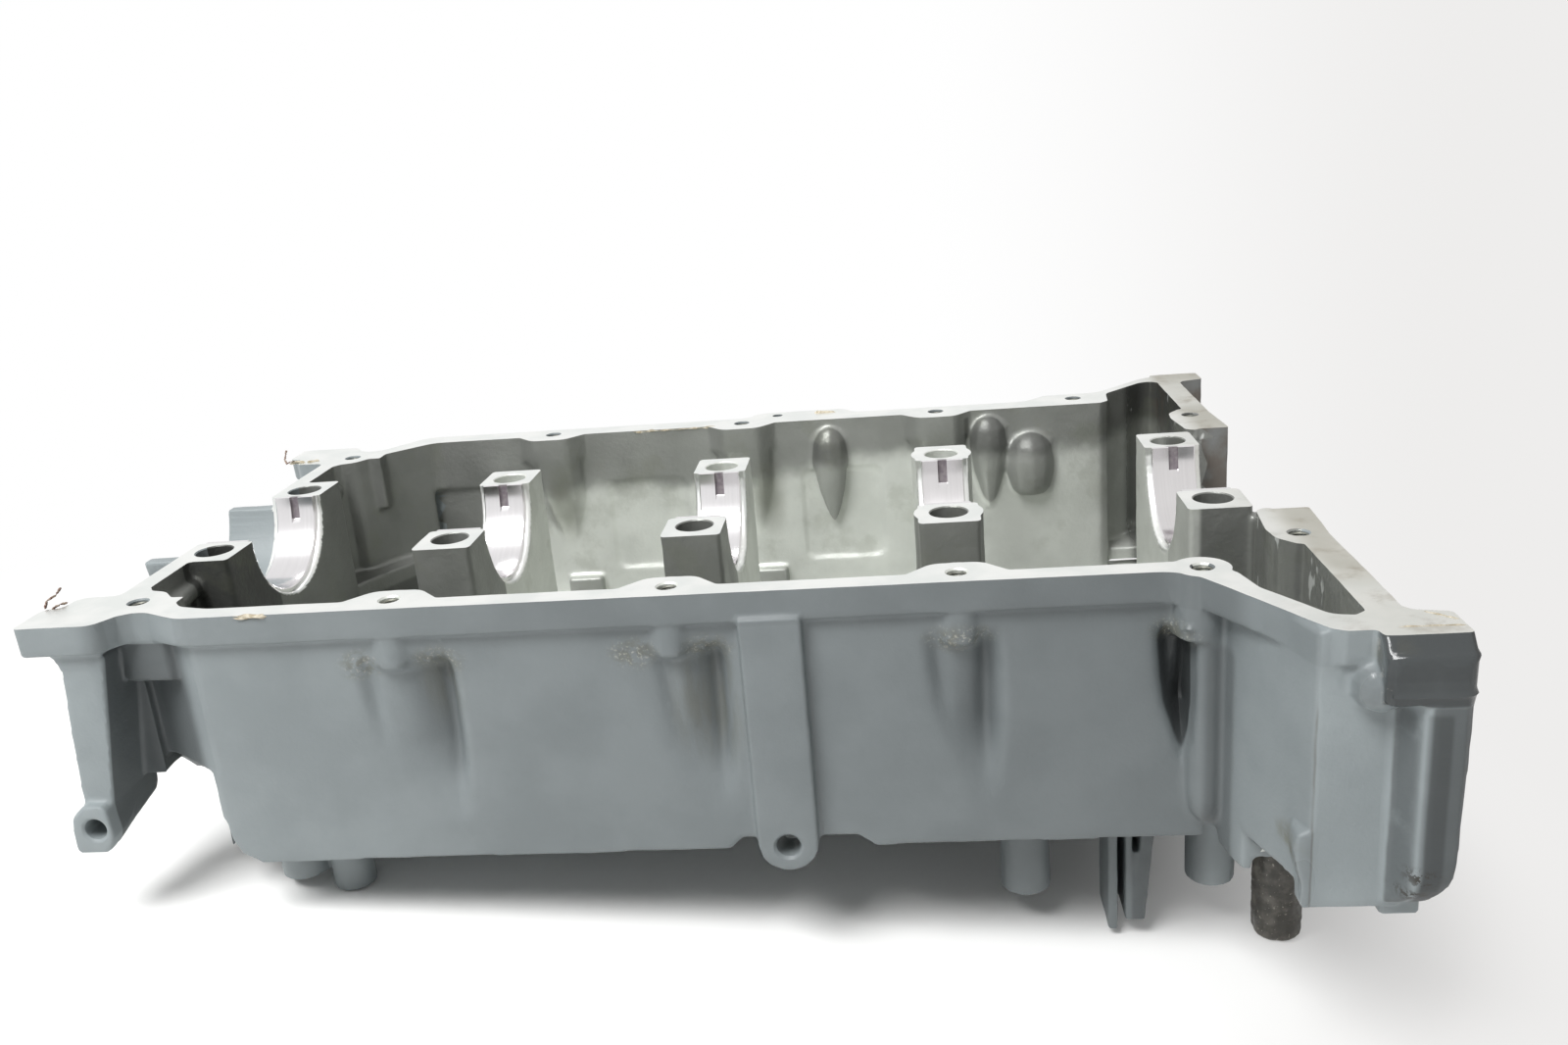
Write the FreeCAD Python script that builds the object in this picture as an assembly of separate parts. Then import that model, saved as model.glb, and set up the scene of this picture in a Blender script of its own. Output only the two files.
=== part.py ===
import FreeCAD, Part
import math
import os

os.makedirs("parts", exist_ok=True)

V = FreeCAD.Vector
X_AXIS = V(1, 0, 0)
Y_AXIS = V(0, 1, 0)
Z_AXIS = V(0, 0, 1)

# Main bearing line, origin on the crank axis at the middle bulkhead
bore_pitch = 100.0
bulkhead_width = 23.6
bulkhead_length = 114.0
housing_radius = 33.25
main_bolt_spacing = 87.5
main_hole_radius = 7.25
main_hole_depth = 18.0
main_bolt_radius = 5.5
bolt_boss_radius = 13.5

# Bearing shells
shell_thickness = 2.0
shell_width = 18.5
tang_width = 4.6
tang_height = 0.9
tang_length = 12.0
tang_clearance = 0.1

# Casting levels, measured down from the parting face
flange_thickness = 11.5
boss_depth = 24.0
corner_floor_depth = 57.5
corner_bottom_depth = 64.0
arch_depth = corner_bottom_depth + 6.5
floor_depth = 90.0
floor_thickness = 6.5
skirt_depth = floor_depth + floor_thickness + 4.5
wall = 6.0
smallest_arc = 5.5

# Side walls and flange
near_wall = 118.0
near_edge = near_wall + 3.0
near_bolt_y = near_wall - 6.5
far_wall = 130.0
far_edge = far_wall + 7.0
far_bolt_y = far_wall - 3.0
flange_hole_radius = 3.4
flange_hole_depth = 20.0
flange_boss_radius = 9.3
lobe_reach = 9.5
lobe_half_width = 17.5
far_tab_x = 0.3 * bore_pitch
far_tab_hole_radius = 2.5
far_tab_hole_depth = 8.0
scoop_half_width = 17.5
scoop_depth = 10.0
scoop_end_depth = 88.0
end_scoop_half_width = 6.3
end_column_radius = 7.4
panel_half_width = 21.0
step_length = 18.5
step_depth = 78.0
far_scoop_half_width = 11.0
far_scoop_end_depth = 59.0

# Left end
end_wall_thickness = 8.0
left_wall_x = -2 * bore_pitch - 12.0
left_plate_x = left_wall_x - 23.0
plate_half_width = near_edge + 3.0
plate_step = 7.0
leg_setback = 3.0
eye_x = left_wall_x - 10.4
eye_depth = arch_depth + 10.0
eye_radius = 9.6
eye_proud = 2.0
eye_hole_radius = 4.2
eye_hole_depth = 10.0
leg_length = 31.5
corner_boss_length = 24.5
corner_boss_setback = 8.5
seal_tube_radius = 40.0
seal_bore_radius = 34.0
seal_tube_end_x = left_wall_x - 22.5
seal_land_drop = 5.0

# Right end
right_wall_x = 2 * bore_pitch + 28.5
right_wall_inner_x = right_wall_x - 11.0
right_end_x = right_wall_x + 12.5
flare_half_width = 176.0
post_half_width = flare_half_width + 11.0
post_width = 14.0
post_depth = 93.0
flare_underside = post_depth - 6.0
post_turn = 22.0
head_width = 24.8
head_depth = 19.8
dome_radius = 8.2
bracket_width = 5.5
crank_opening_half = 61.0
crank_opening_drop = 22.0
right_bolt_x = right_wall_x - 9.5
right_bolt_y = 88.5

# Strap on the near wall
strap_x = 0.357 * bore_pitch
strap_width = 22.0
strap_proud = 5.0
strap_eye_depth = skirt_depth - 4.5
strap_hole_radius = 4.4

# Underside
foot_y = 90.0
left_foot_x = -1.44 * bore_pitch
left_foot_depth = skirt_depth + 26.5
right_foot_x = right_wall_x - 12.8
right_foot_depth = skirt_depth + 58.5
foot_radius = 8.2
hose_radius = 9.5
hose_bore_radius = 6.0
spigot_clearance = 0.1
spigot_length = 22.0

left_web_x = -2 * bore_pitch
right_web_x = 2 * bore_pitch
web_positions = [left_web_x, -bore_pitch, 0.0, bore_pitch, right_web_x]
floor_underside = floor_depth + floor_thickness
panel_y = flare_half_width - 2.0
near_inner = near_wall - wall
far_inner = far_wall - wall
left_inner_x = left_wall_x + end_wall_thickness
skirt_corner_x = left_web_x + 23.5
corner_boss_inner = near_bolt_y - 13.5
corner_boss_x = left_web_x - corner_boss_setback
gallery_end_y = near_inner - 26.0
near_holes = [
    (left_web_x, -101.3),
    (-bore_pitch, -near_bolt_y),
    (0.0, -near_bolt_y),
    (bore_pitch, -near_bolt_y),
    (right_web_x - 20.0, -near_edge + 3.0),
]
far_holes = [
    (left_web_x, 102.5),
    (-bore_pitch, far_bolt_y),
    (0.0, far_bolt_y),
    (bore_pitch, far_bolt_y),
    (right_web_x - 29.5, far_bolt_y + 10.7),
]


def rounded_wire(points, z):
    """Closed wire through (x, y, r) corners, rounded by r, or bevelled where r is small."""
    count = len(points)
    edges = []
    starts = []
    ends = []
    for i in range(count):
        x, y, r = points[i]
        corner = V(x, y, z)
        before = V(points[i - 1][0], points[i - 1][1], z) - corner
        after_point = points[(i + 1) % count]
        after = V(after_point[0], after_point[1], z) - corner
        half = before.getAngle(after) / 2
        reach = 0.0
        if r > 0:
            reach = min(r / math.tan(half), 0.48 * before.Length, 0.48 * after.Length)
        before.normalize()
        after.normalize()
        first = corner + before * reach
        last = corner + after * reach
        starts.append(first)
        ends.append(last)
        if reach > 0.05:
            radius = reach * math.tan(half)
            inward = before + after
            inward.normalize()
            middle = corner + inward * (radius / math.sin(half) - radius)
            if r < smallest_arc:
                edges.append((i, Part.makeLine(first, last)))
            else:
                edges.append((i, Part.Arc(first, middle, last).toShape()))
    wire_edges = []
    arcs = dict(edges)
    for i in range(count):
        if i in arcs:
            wire_edges.append(arcs[i])
        nxt = (i + 1) % count
        if (starts[nxt] - ends[i]).Length > 1e-4:
            wire_edges.append(Part.makeLine(ends[i], starts[nxt]))
    return Part.Wire(wire_edges)


def prism(points, top, bottom):
    """Solid over a rounded outline between two depths below the parting face."""
    face = Part.Face(rounded_wire(points, -bottom))
    return face.extrude(V(0, 0, bottom - top))


def rod(start, end, radius):
    """Cylinder between two points."""
    return Part.makeCylinder(radius, (end - start).Length, start, end - start)


def flipped(points):
    """The same outline on the other side of the crank axis."""
    return [(x, -y, r) for x, y, r in reversed(points)]


def near_flange_run():
    """Outer flange edge on the near side, left to right."""
    return [
        (left_plate_x, -plate_half_width, 1.5),
        (left_web_x - 5.5, -plate_half_width, 6),
        (left_web_x + 1.0, -near_edge + 8.0, 5),
        (left_web_x + 9.0, -near_edge + 8.0, 8),
        (left_web_x + 25.0, -near_edge, 14),
        (right_web_x - 26.0, -near_edge, 16),
        (right_web_x + 5.5, -flare_half_width, 4),
        (right_end_x, -flare_half_width, 1),
    ]


def far_flange_run():
    """Outer flange edge on the far side, right to left."""
    return [
        (right_end_x, flare_half_width, 1),
        (right_web_x + 13.0, flare_half_width, 12),
        (right_web_x - 16.0, far_edge + 10.5, 10),
        (right_web_x - 43.0, far_edge + 10.5, 8),
        (right_web_x - 54.0, far_edge, 8),
        (far_tab_x + 28.0, far_edge, 5),
        (far_tab_x + 22.0, far_edge + 9.5, 5),
        (far_tab_x - 22.0, far_edge + 9.5, 5),
        (far_tab_x - 28.0, far_edge, 5),
        (left_web_x + 28.0, far_edge, 14),
        (left_web_x + 11.0, near_edge - 7.0, 8),
        (left_web_x + 1.0, near_edge - 8.0, 5),
        (left_web_x - 5.5, plate_half_width, 6),
        (left_plate_x, plate_half_width, 1.5),
    ]


def flange_plate():
    outline = near_flange_run()
    outline += [
        (right_end_x, -flare_half_width + 11.5, 1),
        (right_wall_x, -flare_half_width + 14.5, 3),
        (right_wall_x, flare_half_width - 14.5, 3),
        (right_end_x, flare_half_width - 11.5, 1),
    ]
    outline += far_flange_run()
    left_end = [
        (left_plate_x, plate_half_width - 19.0, 2),
        (left_plate_x + plate_step, plate_half_width - 20.0, 2),
        (left_plate_x + plate_step, plate_half_width - 30.0, 3),
        (left_wall_x, plate_half_width - 31.0, 2),
    ]
    outline += left_end + flipped(left_end)
    return prism(outline, 0.0, flange_thickness)


def outer_shell():
    upper = [
        (left_wall_x, -94.0, 3),
        (left_web_x - 1.0, -98.5, 5),
        (left_web_x + 26.0, -near_wall, 5),
        (right_web_x - 15.0, -near_wall, 2),
        (right_web_x - 13.0, -near_wall - 14.0, 12),
        (right_web_x + 0.8, -panel_y, 1),
        (right_wall_x, -panel_y, 1),
        (right_wall_x, panel_y, 1),
        (right_web_x + 9.0, panel_y, 8),
        (right_web_x - 14.0, far_wall + 17.0, 12),
        (right_web_x - 42.0, far_wall + 12.0, 12),
        (right_web_x - 56.0, far_wall, 12),
        (left_web_x + 30.0, far_wall, 10),
        (left_web_x + 10.0, 104.0, 8),
        (left_web_x - 1.0, 98.5, 5),
        (left_wall_x, 94.0, 3),
    ]
    lower = [
        (left_wall_x, -56.0, 3),
        (left_web_x - 4.0, -64.0, 6),
        (skirt_corner_x, -near_wall, 6),
    ]
    lower += upper[3:13]
    lower += [
        (left_web_x - 4.0, 64.0, 6),
        (left_wall_x, 56.0, 3),
    ]
    top = prism(upper, 1.0, corner_bottom_depth)
    bottom = prism(lower, corner_bottom_depth - 1.0, skirt_depth)
    return top.fuse(bottom)


def inner_outline():
    """Inside of the chamber at the level of the flange."""
    return [
        (left_inner_x, -88.5, 4),
        (left_web_x + 5.5, -91.5, 5),
        (left_web_x + 20.0, -near_inner + 3.5, 8),
        (left_web_x + 32.0, -near_inner, 10),
        (right_web_x - 24.0, -near_inner, 8),
        (right_web_x - 10.5, -near_inner - 12.0, 6),
        (right_web_x - 7.0, -near_inner - 27.0, 10),
        (right_web_x + 7.5, -flare_half_width + 13.0, 6),
        (right_wall_inner_x, -flare_half_width + 11.0, 3),
        (right_wall_inner_x, flare_half_width - 11.0, 3),
        (right_web_x + 9.0, flare_half_width - 11.0, 8),
        (right_web_x - 12.0, far_inner + 20.0, 8),
        (right_web_x - 14.0, far_inner, 4),
        (left_web_x + 36.0, far_inner, 10),
        (left_web_x + 16.0, near_inner - 6.0, 8),
        (left_web_x + 5.5, 91.5, 5),
        (left_inner_x, 88.5, 4),
    ]


def inner_lower_outline():
    """Inside of the chamber below the raised left corners."""
    upper = inner_outline()
    start = [
        (left_inner_x, -54.0, 3),
        (left_web_x + 3.0, -64.0, 6),
        (left_web_x + 31.0, -near_inner, 8),
    ]
    finish = [
        (left_web_x + 36.0, far_inner, 10),
        (left_web_x + 3.0, 64.0, 6),
        (left_inner_x, 54.0, 3),
    ]
    return start + upper[4:13] + finish


def chamber():
    upper = prism(inner_outline(), -1.0, corner_floor_depth)
    lower = prism(inner_lower_outline(), corner_floor_depth - 1.0, floor_depth)
    return upper.fuse(lower)


def underside_recess():
    return prism(inner_lower_outline(), floor_underside, skirt_depth + 1.0)


def skirt_corner():
    """Metal taken off the near wall's lower left corner."""
    x = skirt_corner_x
    outline = Part.makePolygon([
        V(x - 6.0, 0, -skirt_depth + 17.5),
        V(x + 0.3, 0, -skirt_depth + 17.5),
        V(x + 1.5, 0, -skirt_depth + 9.5),
        V(x + 4.5, 0, -skirt_depth + 4.0),
        V(x + 11.5, 0, -skirt_depth),
        V(x + 11.5, 0, -skirt_depth - 2.0),
        V(x - 6.0, 0, -skirt_depth - 2.0),
        V(x - 6.0, 0, -skirt_depth + 17.5),
    ])
    corner = Part.Face(outline).extrude(V(0, 19.0, 0))
    corner.translate(V(0, -near_wall - 2.0, 0))
    return corner


def corner_post(side):
    """Upright post at one outer corner of the flared end, with its head."""
    inner = flare_half_width - 11.5
    shaft = prism([
        (right_end_x - post_width - 8.0, panel_y - 1.0, 0),
        (right_end_x - post_width - 4.0, panel_y, 5),
        (right_end_x - post_width + 1.0, post_half_width, 3),
        (right_end_x, post_half_width, 3),
        (right_end_x, inner, 1),
        (right_wall_x - 2.0, inner, 0),
    ], 0.0, post_depth)
    head = prism([
        (right_end_x - head_width, flare_half_width - 2.0, 0),
        (right_end_x - head_width, post_half_width - 0.5, 2),
        (right_end_x, post_half_width - 0.5, 2),
        (right_end_x, flare_half_width - 2.0, 0),
    ], 0.0, head_depth)
    dome = swelling([
        (dome_radius, -4.0),
        (dome_radius, 1.0),
        (0.86 * dome_radius, 0.55 * dome_radius),
        (0.5 * dome_radius, 0.9 * dome_radius),
    ], V(right_end_x - 23.4, flare_half_width - 1.0, -17.5), Y_AXIS)
    slope = Part.makePolygon([
        V(0, flare_half_width - 0.5, 1.0),
        V(0, post_half_width + 3.0, 1.0),
        V(0, post_half_width + 3.0, -9.0),
        V(0, flare_half_width - 0.5, 1.0),
    ])
    bevel = Part.Face(slope).extrude(V(2 * right_end_x, 0, 0))
    turn = Part.makeBox(60.0, 60.0, 60.0, V(0, 0, -60.0))
    turn = turn.cut(Part.makeCylinder(post_turn, 62.0, V(-1, 0, 0), X_AXIS))
    turn.translate(V(right_end_x - 50.0, post_half_width - post_turn, post_turn - post_depth))
    lug = prism([
        (right_end_x - 18.0, flare_half_width - 4.0, 1),
        (right_end_x - 6.0, flare_half_width - 4.0, 1),
        (right_end_x - 6.0, flare_half_width - 24.0, 1),
        (right_end_x - 18.0, flare_half_width - 24.0, 1),
    ], post_depth - 6.0, post_depth + 4.0)
    post = shaft.fuse(head).fuse(dome).cut([bevel, turn, end_taper()])
    post = post.fuse(lug)
    if side < 0:
        post = post.fuse(corner_bracket()).mirror(V(0, 0, 0), Y_AXIS)
    return post


def corner_bracket():
    """Thick low corner where the flared wall meets the end panel."""
    x = right_web_x + 1.5
    y = panel_y - 8.0
    foot = -post_depth
    outline = [
        V(x, y, foot + 27.0),
        V(x - 0.8 * bracket_width, y, foot + 26.0),
        V(x - bracket_width, y, foot + 21.0),
        V(x - 0.5 * bracket_width, y, foot + 8.0),
        V(x - 0.5 * bracket_width, y, foot),
        V(x, y, foot),
    ]
    return Part.Face(Part.makePolygon(outline + outline[:1])).extrude(V(0, 8.4, 0))


def end_taper():
    """Metal taken off the end of a post, which narrows towards its foot."""
    edge = [
        (-0.2, head_depth),
        (-1.8, 0.69 * post_depth),
        (-3.2, 0.84 * post_depth),
        (-7.0, 0.93 * post_depth),
        (-10.5, post_depth + 0.5),
        (3.0, post_depth + 0.5),
        (3.0, head_depth),
    ]
    points = [V(right_end_x + x, panel_y - 14.0, -depth) for x, depth in edge]
    return Part.Face(Part.makePolygon(points + points[:1])).extrude(V(0, 40.0, 0))


def flare_rise(side):
    """Space under the flared corner, whose skirt stops short of the others."""
    whole = Part.makeBox(60.0, 70.0, 20.0,
                         V(right_end_x - 58.0, panel_y - 34.0, -post_depth - 20.0))
    higher = Part.makeBox(right_wall_x - right_web_x + 15.0, 28.0, skirt_depth,
                          V(right_web_x - 17.0, panel_y - 34.0, -flare_underside - skirt_depth))
    space = whole.fuse(higher)
    if side < 0:
        space = space.mirror(V(0, 0, 0), Y_AXIS)
    return space


def flare_floor(side):
    """Raised floor of the chamber in the flared corner."""
    layer = Part.makeBox(70.0, 60.0, floor_thickness,
                         V(right_web_x - 20.0, panel_y - 42.0, -flare_underside))
    if side < 0:
        layer = layer.mirror(V(0, 0, 0), Y_AXIS)
    return outer_shell().common(layer)


def end_leg(side):
    """Leg of the left end plate with its eye, on one side."""
    leg_y = plate_half_width - leg_setback
    top = flange_thickness - 1.0
    arch_y = plate_half_width - 31.0
    plate = sheet(left_wall_x - 5.0, end_wall_thickness + 3.0, [
        (arch_y - 33.0, top),
        (arch_y + 7.0, top),
        (arch_y + 7.0, arch_depth + 0.5),
        (arch_y, arch_depth),
        (arch_y - 7.0, arch_depth + 0.5),
        (arch_y - 15.0, arch_depth + 4.0),
        (arch_y - 22.0, arch_depth + 9.5),
        (arch_y - 29.0, arch_depth + 17.0),
        (arch_y - 33.0, arch_depth + 17.0),
    ])
    leg = sheet(left_plate_x, end_wall_thickness + 30.0, [
        (leg_y - leg_length + 4.0, top),
        (leg_y, top),
        (leg_y, eye_depth + 7.5),
        (leg_y - 14.0, eye_depth + 4.0),
        (leg_y - leg_length + 3.0, eye_depth + 1.0),
        (leg_y - leg_length + 1.0, eye_depth - 2.0),
        (leg_y - leg_length, arch_depth),
    ])
    leg = leg.common(leg_front())
    piece = plate.fuse(leg).fuse(eye_block())
    if side < 0:
        piece = piece.mirror(V(0, 0, 0), Y_AXIS)
    return piece


def sheet(x, width, edge):
    """Flat piece across the crank axis, through the (y, depth) points of its edge."""
    points = [V(x, y, -depth) for y, depth in edge]
    return Part.Face(Part.makePolygon(points + points[:1])).extrude(V(width, 0, 0))


def leg_front():
    """Outline of the leg seen from the front, leaning out towards its eye."""
    outline = [
        (left_wall_x - 16.0, flange_thickness - 1.0),
        (left_wall_x + 4.5, flange_thickness - 1.0),
        (left_wall_x + 6.5, flange_thickness + 2.5),
        (left_wall_x - 4.0, arch_depth + 2.0),
        (left_wall_x - 4.5, eye_depth + 8.0),
        (left_wall_x - 15.5, eye_depth + 8.0),
        (left_wall_x - 15.2, arch_depth - 5.0),
        (left_wall_x - 10.8, flange_thickness + 7.0),
        (left_wall_x - 12.6, flange_thickness + 2.5),
    ]
    points = [V(x, plate_half_width - leg_length - 4.0, -depth) for x, depth in outline]
    return Part.Face(Part.makePolygon(points + points[:1])).extrude(V(0, leg_length + 5.0, 0))


def eye_block():
    """Eye at the foot of the leg, its hole running along Y and its back cut on a slant."""
    outline = [
        (eye_x + 6.0, eye_depth - eye_radius, 2),
        (eye_x + 6.8, eye_depth + 3.5, 3),
        (eye_x + 3.8, eye_depth + eye_radius, 2),
        (eye_x - eye_radius, eye_depth + eye_radius, 1.5),
        (eye_x - 8.2, eye_depth - 5.0, 4),
        (eye_x - 3.0, eye_depth - eye_radius, 2),
    ]
    block = prism(outline, 0.0, 18.0)
    block.rotate(V(0, 0, 0), X_AXIS, -90)
    block.translate(V(0, plate_half_width + eye_proud, 0))
    front = plate_half_width + eye_proud + 1.0
    side = [
        V(eye_x - 20.0, front, -eye_depth + 20.0),
        V(eye_x - 20.0, front, -eye_depth - 13.0),
        V(eye_x - 20.0, front - 25.0, -eye_depth + 6.0),
        V(eye_x - 20.0, front - 25.0, -eye_depth + 20.0),
    ]
    kept = Part.Face(Part.makePolygon(side + side[:1])).extrude(V(40.0, 0, 0))
    return block.common(kept)


def corner_boss(side):
    """Metal that joins the first flange boss to the corner of the side wall."""
    boss = prism([
        (corner_boss_x, -corner_boss_inner, 0),
        (corner_boss_x, -near_bolt_y + 4.0, 3),
        (corner_boss_x + 4.5, -near_bolt_y, 4),
        (corner_boss_x + corner_boss_length, -near_bolt_y - 1.5, 3),
        (corner_boss_x + corner_boss_length, -corner_boss_inner, 0),
    ], 0.0, boss_depth + 3.5)
    if side > 0:
        boss = boss.mirror(V(0, 0, 0), Y_AXIS)
    return boss


def seal_tube():
    """Half tube that carries the crank seal outside the left end wall."""
    length = left_wall_x - seal_tube_end_x + 1.0
    start = V(seal_tube_end_x, 0, 0)
    tube = Part.makeCylinder(seal_tube_radius, length, start, X_AXIS)
    room = seal_tube_radius + 5.0
    above = Part.makeBox(length + 2.0, 2 * room, room,
                         V(seal_tube_end_x - 1.0, -room, -seal_land_drop))
    return tube.cut(above)


def bulkhead(x):
    half = bulkhead_length / 2
    width = bulkhead_width / 2
    block = prism([
        (x - width, -half, 1.0),
        (x + width, -half, 1.0),
        (x + width, half, 1.0),
        (x - width, half, 1.0),
    ], 0.0, floor_depth + 1.0)
    return block


def bolt_column(x, y, radius):
    """Round column about one main bolt, wider than its bulkhead."""
    column = Part.makeCylinder(radius, floor_depth + 1.0, V(x, y, -floor_depth - 1.0))
    half = bulkhead_length / 2
    limits = Part.makeBox(4 * radius, bulkhead_length, floor_depth + 2.0,
                          V(x - 2 * radius, -half, -floor_depth - 1.0))
    return column.common(limits)


def flange_lobe(x, inner, outward):
    """Smooth swelling of the flange inward round one bolt hole."""
    crest = inner - outward * lobe_reach
    points = [
        (x - lobe_half_width, inner + outward * 3.0, 0),
        (x - lobe_half_width, inner, 0),
        (x - 0.5 * lobe_half_width, crest, 8),
        (x + 0.5 * lobe_half_width, crest, 8),
        (x + lobe_half_width, inner, 0),
        (x + lobe_half_width, inner + outward * 3.0, 0),
    ]
    if outward < 0:
        points.reverse()
    return prism(points, 0.0, flange_thickness + 2.0)


def stacked(rings):
    """Flat-sided solid through outlines that have the same corners."""
    first = rings[0]
    last = rings[-1]
    faces = [Part.Face(Part.makePolygon(ring + ring[:1])) for ring in (first, last)]
    count = len(first)
    for lower, upper in zip(rings, rings[1:]):
        for i in range(count):
            j = (i + 1) % count
            side = [lower[i], lower[j], upper[j], upper[i], lower[i]]
            faces.append(Part.Face(Part.makePolygon(side)))
    solid = Part.Solid(Part.Shell(faces))
    if solid.Volume < 0:
        solid.reverse()
    return solid


def channel(x, face, outward, levels):
    """Channel with bevelled corners through (depth, left, right, reach) levels."""
    rings = []
    mouth = face + outward * 14.0
    for depth, left, right, reach in levels:
        back = face - outward * reach
        bevel = 0.2 * (right - left)
        rings.append([
            V(x + left, mouth, -depth),
            V(x + left, back + outward * bevel, -depth),
            V(x + left + bevel, back, -depth),
            V(x + right - bevel, back, -depth),
            V(x + right, back + outward * bevel, -depth),
            V(x + right, mouth, -depth),
        ])
    return stacked(rings)


def scoop_levels(half, end, top, grow, rise):
    """Levels of a scoop, or of the metal round it when widened by grow."""
    return [
        (top, -half - grow, half + grow, scoop_depth - rise),
        (0.57 * end, -0.7 * half - grow, half + grow, 0.75 * scoop_depth - rise),
        (0.8 * end, -0.35 * half - grow, 0.85 * half + grow, 0.35 * scoop_depth - rise),
        (end, 0.25 * half - grow, 0.5 * half + grow, -0.3),
    ]


def outer_scoop(x, face, outward):
    """Hollow under a flange bolt that fades out down the wall."""
    if outward < 0:
        levels = scoop_levels(scoop_half_width, scoop_end_depth, boss_depth, 0.0, 0.0)
    else:
        levels = scoop_levels(far_scoop_half_width, far_scoop_end_depth, boss_depth, 0.0, 0.0)
    return channel(x, face, outward, levels)


def inner_bulge(x, inner, outward):
    """Metal on the inside of a wall that follows the scoop outside."""
    if outward < 0:
        levels = scoop_levels(scoop_half_width, scoop_end_depth, flange_thickness, 4.0, 1.0)
    else:
        levels = scoop_levels(far_scoop_half_width, far_scoop_end_depth, flange_thickness, 3.0, 1.0)
    bulge = channel(x, inner, outward, levels)
    room = Part.makeBox(4 * scoop_half_width, wall - 1.0 + scoop_depth, floor_depth,
                        V(x - 2 * scoop_half_width, 0, -floor_depth))
    shift = inner - scoop_depth if outward > 0 else inner - wall + 1.0
    room.translate(V(0, shift, 0))
    return bulge.common(room)


def end_scoop_levels(top, grow, rise):
    """Levels of the narrow scoop beside the last near bolt."""
    half = end_scoop_half_width
    return [
        (top, -half - grow, half + grow, scoop_depth - rise),
        (0.5 * scoop_end_depth, -half - grow, half + grow, 0.9 * scoop_depth - rise),
        (0.68 * scoop_end_depth, -0.5 * half - grow, 0.9 * half + grow, 0.5 * scoop_depth - rise),
        (0.81 * scoop_end_depth, 0.3 * half - grow, 0.6 * half + grow, -0.3),
    ]


def end_scoop():
    levels = end_scoop_levels(boss_depth, 0.0, 0.0)
    return channel(near_holes[4][0] - 9.0, -near_wall, -1, levels)


def end_bulge():
    """Metal on the inside of the near wall behind the narrow scoop."""
    levels = end_scoop_levels(flange_thickness, 4.0, 1.0)
    bulge = channel(near_holes[4][0] - 9.0, -near_inner, -1, levels)
    room = Part.makeBox(bore_pitch, wall - 1.0 + scoop_depth, floor_depth,
                        V(near_holes[4][0] - bore_pitch / 2, -near_inner - wall + 1.0, -floor_depth))
    return bulge.common(room)


def end_column():
    """Rounded column down the near wall beside the narrow scoop."""
    radius = end_column_radius
    foot = floor_underside - 2.5
    profile = [
        (radius, 4.0 - boss_depth),
        (radius, 11.0 - foot),
        (0.8 * radius, 4.0 - foot),
        (0.35 * radius, -foot),
    ]
    return swelling(profile, V(near_holes[4][0] + 2.5, -near_wall - 1.0, 0), Z_AXIS)


def flange_boss(place, depth):
    """Round metal under one flange bolt."""
    return Part.makeCylinder(flange_boss_radius, depth, V(place[0], place[1], -depth))


def strap():
    """Flat strap down the near wall that ends in an eye."""
    front = -near_wall - strap_proud
    half = strap_width / 2
    tall = strap_eye_depth - flange_thickness + 2.0
    bar = Part.makeBox(strap_width, strap_proud + 4.0, tall,
                       V(strap_x - half, front, -strap_eye_depth))
    eye = Part.makeCylinder(half, strap_proud + 9.0, V(strap_x, front, -strap_eye_depth), Y_AXIS)
    return bar.fuse(eye)


def skirt_notch():
    """Raised length of the near skirt edge either side of the strap."""
    low = skirt_depth + 1.0
    outline = Part.makePolygon([
        V(strap_x - 22.5, 0, -low),
        V(strap_x - 17.0, 0, -floor_underside),
        V(strap_x + 25.0, 0, -floor_underside),
        V(strap_x + 32.5, 0, -low),
        V(strap_x - 22.5, 0, -low),
    ])
    notch = Part.Face(outline).extrude(V(0, wall + 4.0, 0))
    notch.translate(V(0, -near_wall - 3.0, 0))
    return notch


def swelling(profile, place, axis):
    """Ten-sided swelling from (radius, height) points along an axis."""
    rings = []
    for radius, height in profile:
        ring = []
        for i in range(10):
            angle = math.radians(36.0 * i + 18.0)
            ring.append(V(radius * math.cos(angle), radius * math.sin(angle), height))
        rings.append(ring)
    solid = stacked(rings)
    if axis != Z_AXIS:
        solid.rotate(V(0, 0, 0), Z_AXIS.cross(axis), 90)
    solid.translate(place)
    return solid


def wall_dimple(x, top, bottom, radius, fullest, blunt):
    """Teardrop swelling on the inside of the far wall, fullest near its top.

    Its foot is pointed where blunt is 0 and nearly flat where blunt is 1."""
    span = bottom - top
    full = fullest * span
    profile = [
        (0.3 * radius, -top),
        (0.6 * radius, -top - 0.13 * full),
        (0.88 * radius, -top - 0.42 * full),
        (radius, -top - full),
        ((0.86 + 0.1 * blunt) * radius, -top - full - 0.4 * (span - full)),
        ((0.5 + 0.3 * blunt) * radius, -top - full - 0.8 * (span - full)),
        ((0.25 + 0.3 * blunt) * radius, -bottom),
    ]
    dimple = swelling(profile, V(x, far_inner + 1.5, 0), Z_AXIS)
    room = Part.makeBox(4 * radius, 2 * radius, bottom + 2.0,
                        V(x - 2 * radius, far_wall - 1.0 - 2 * radius, -bottom - 1.0))
    return dimple.common(room)


def wall_panel(x):
    """Shallow sunk panel on the inside of the far wall of one bay."""
    points = [
        (x - panel_half_width, 26.0, 3),
        (x + panel_half_width, 26.0, 3),
        (x + panel_half_width, 75.0, 3),
        (x - panel_half_width, 75.0, 3),
    ]
    panel = prism(points, 0.0, 3.5)
    panel.rotate(V(0, 0, 0), X_AXIS, -90)
    panel.translate(V(0, far_inner + 1.5, 0))
    return panel


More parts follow.
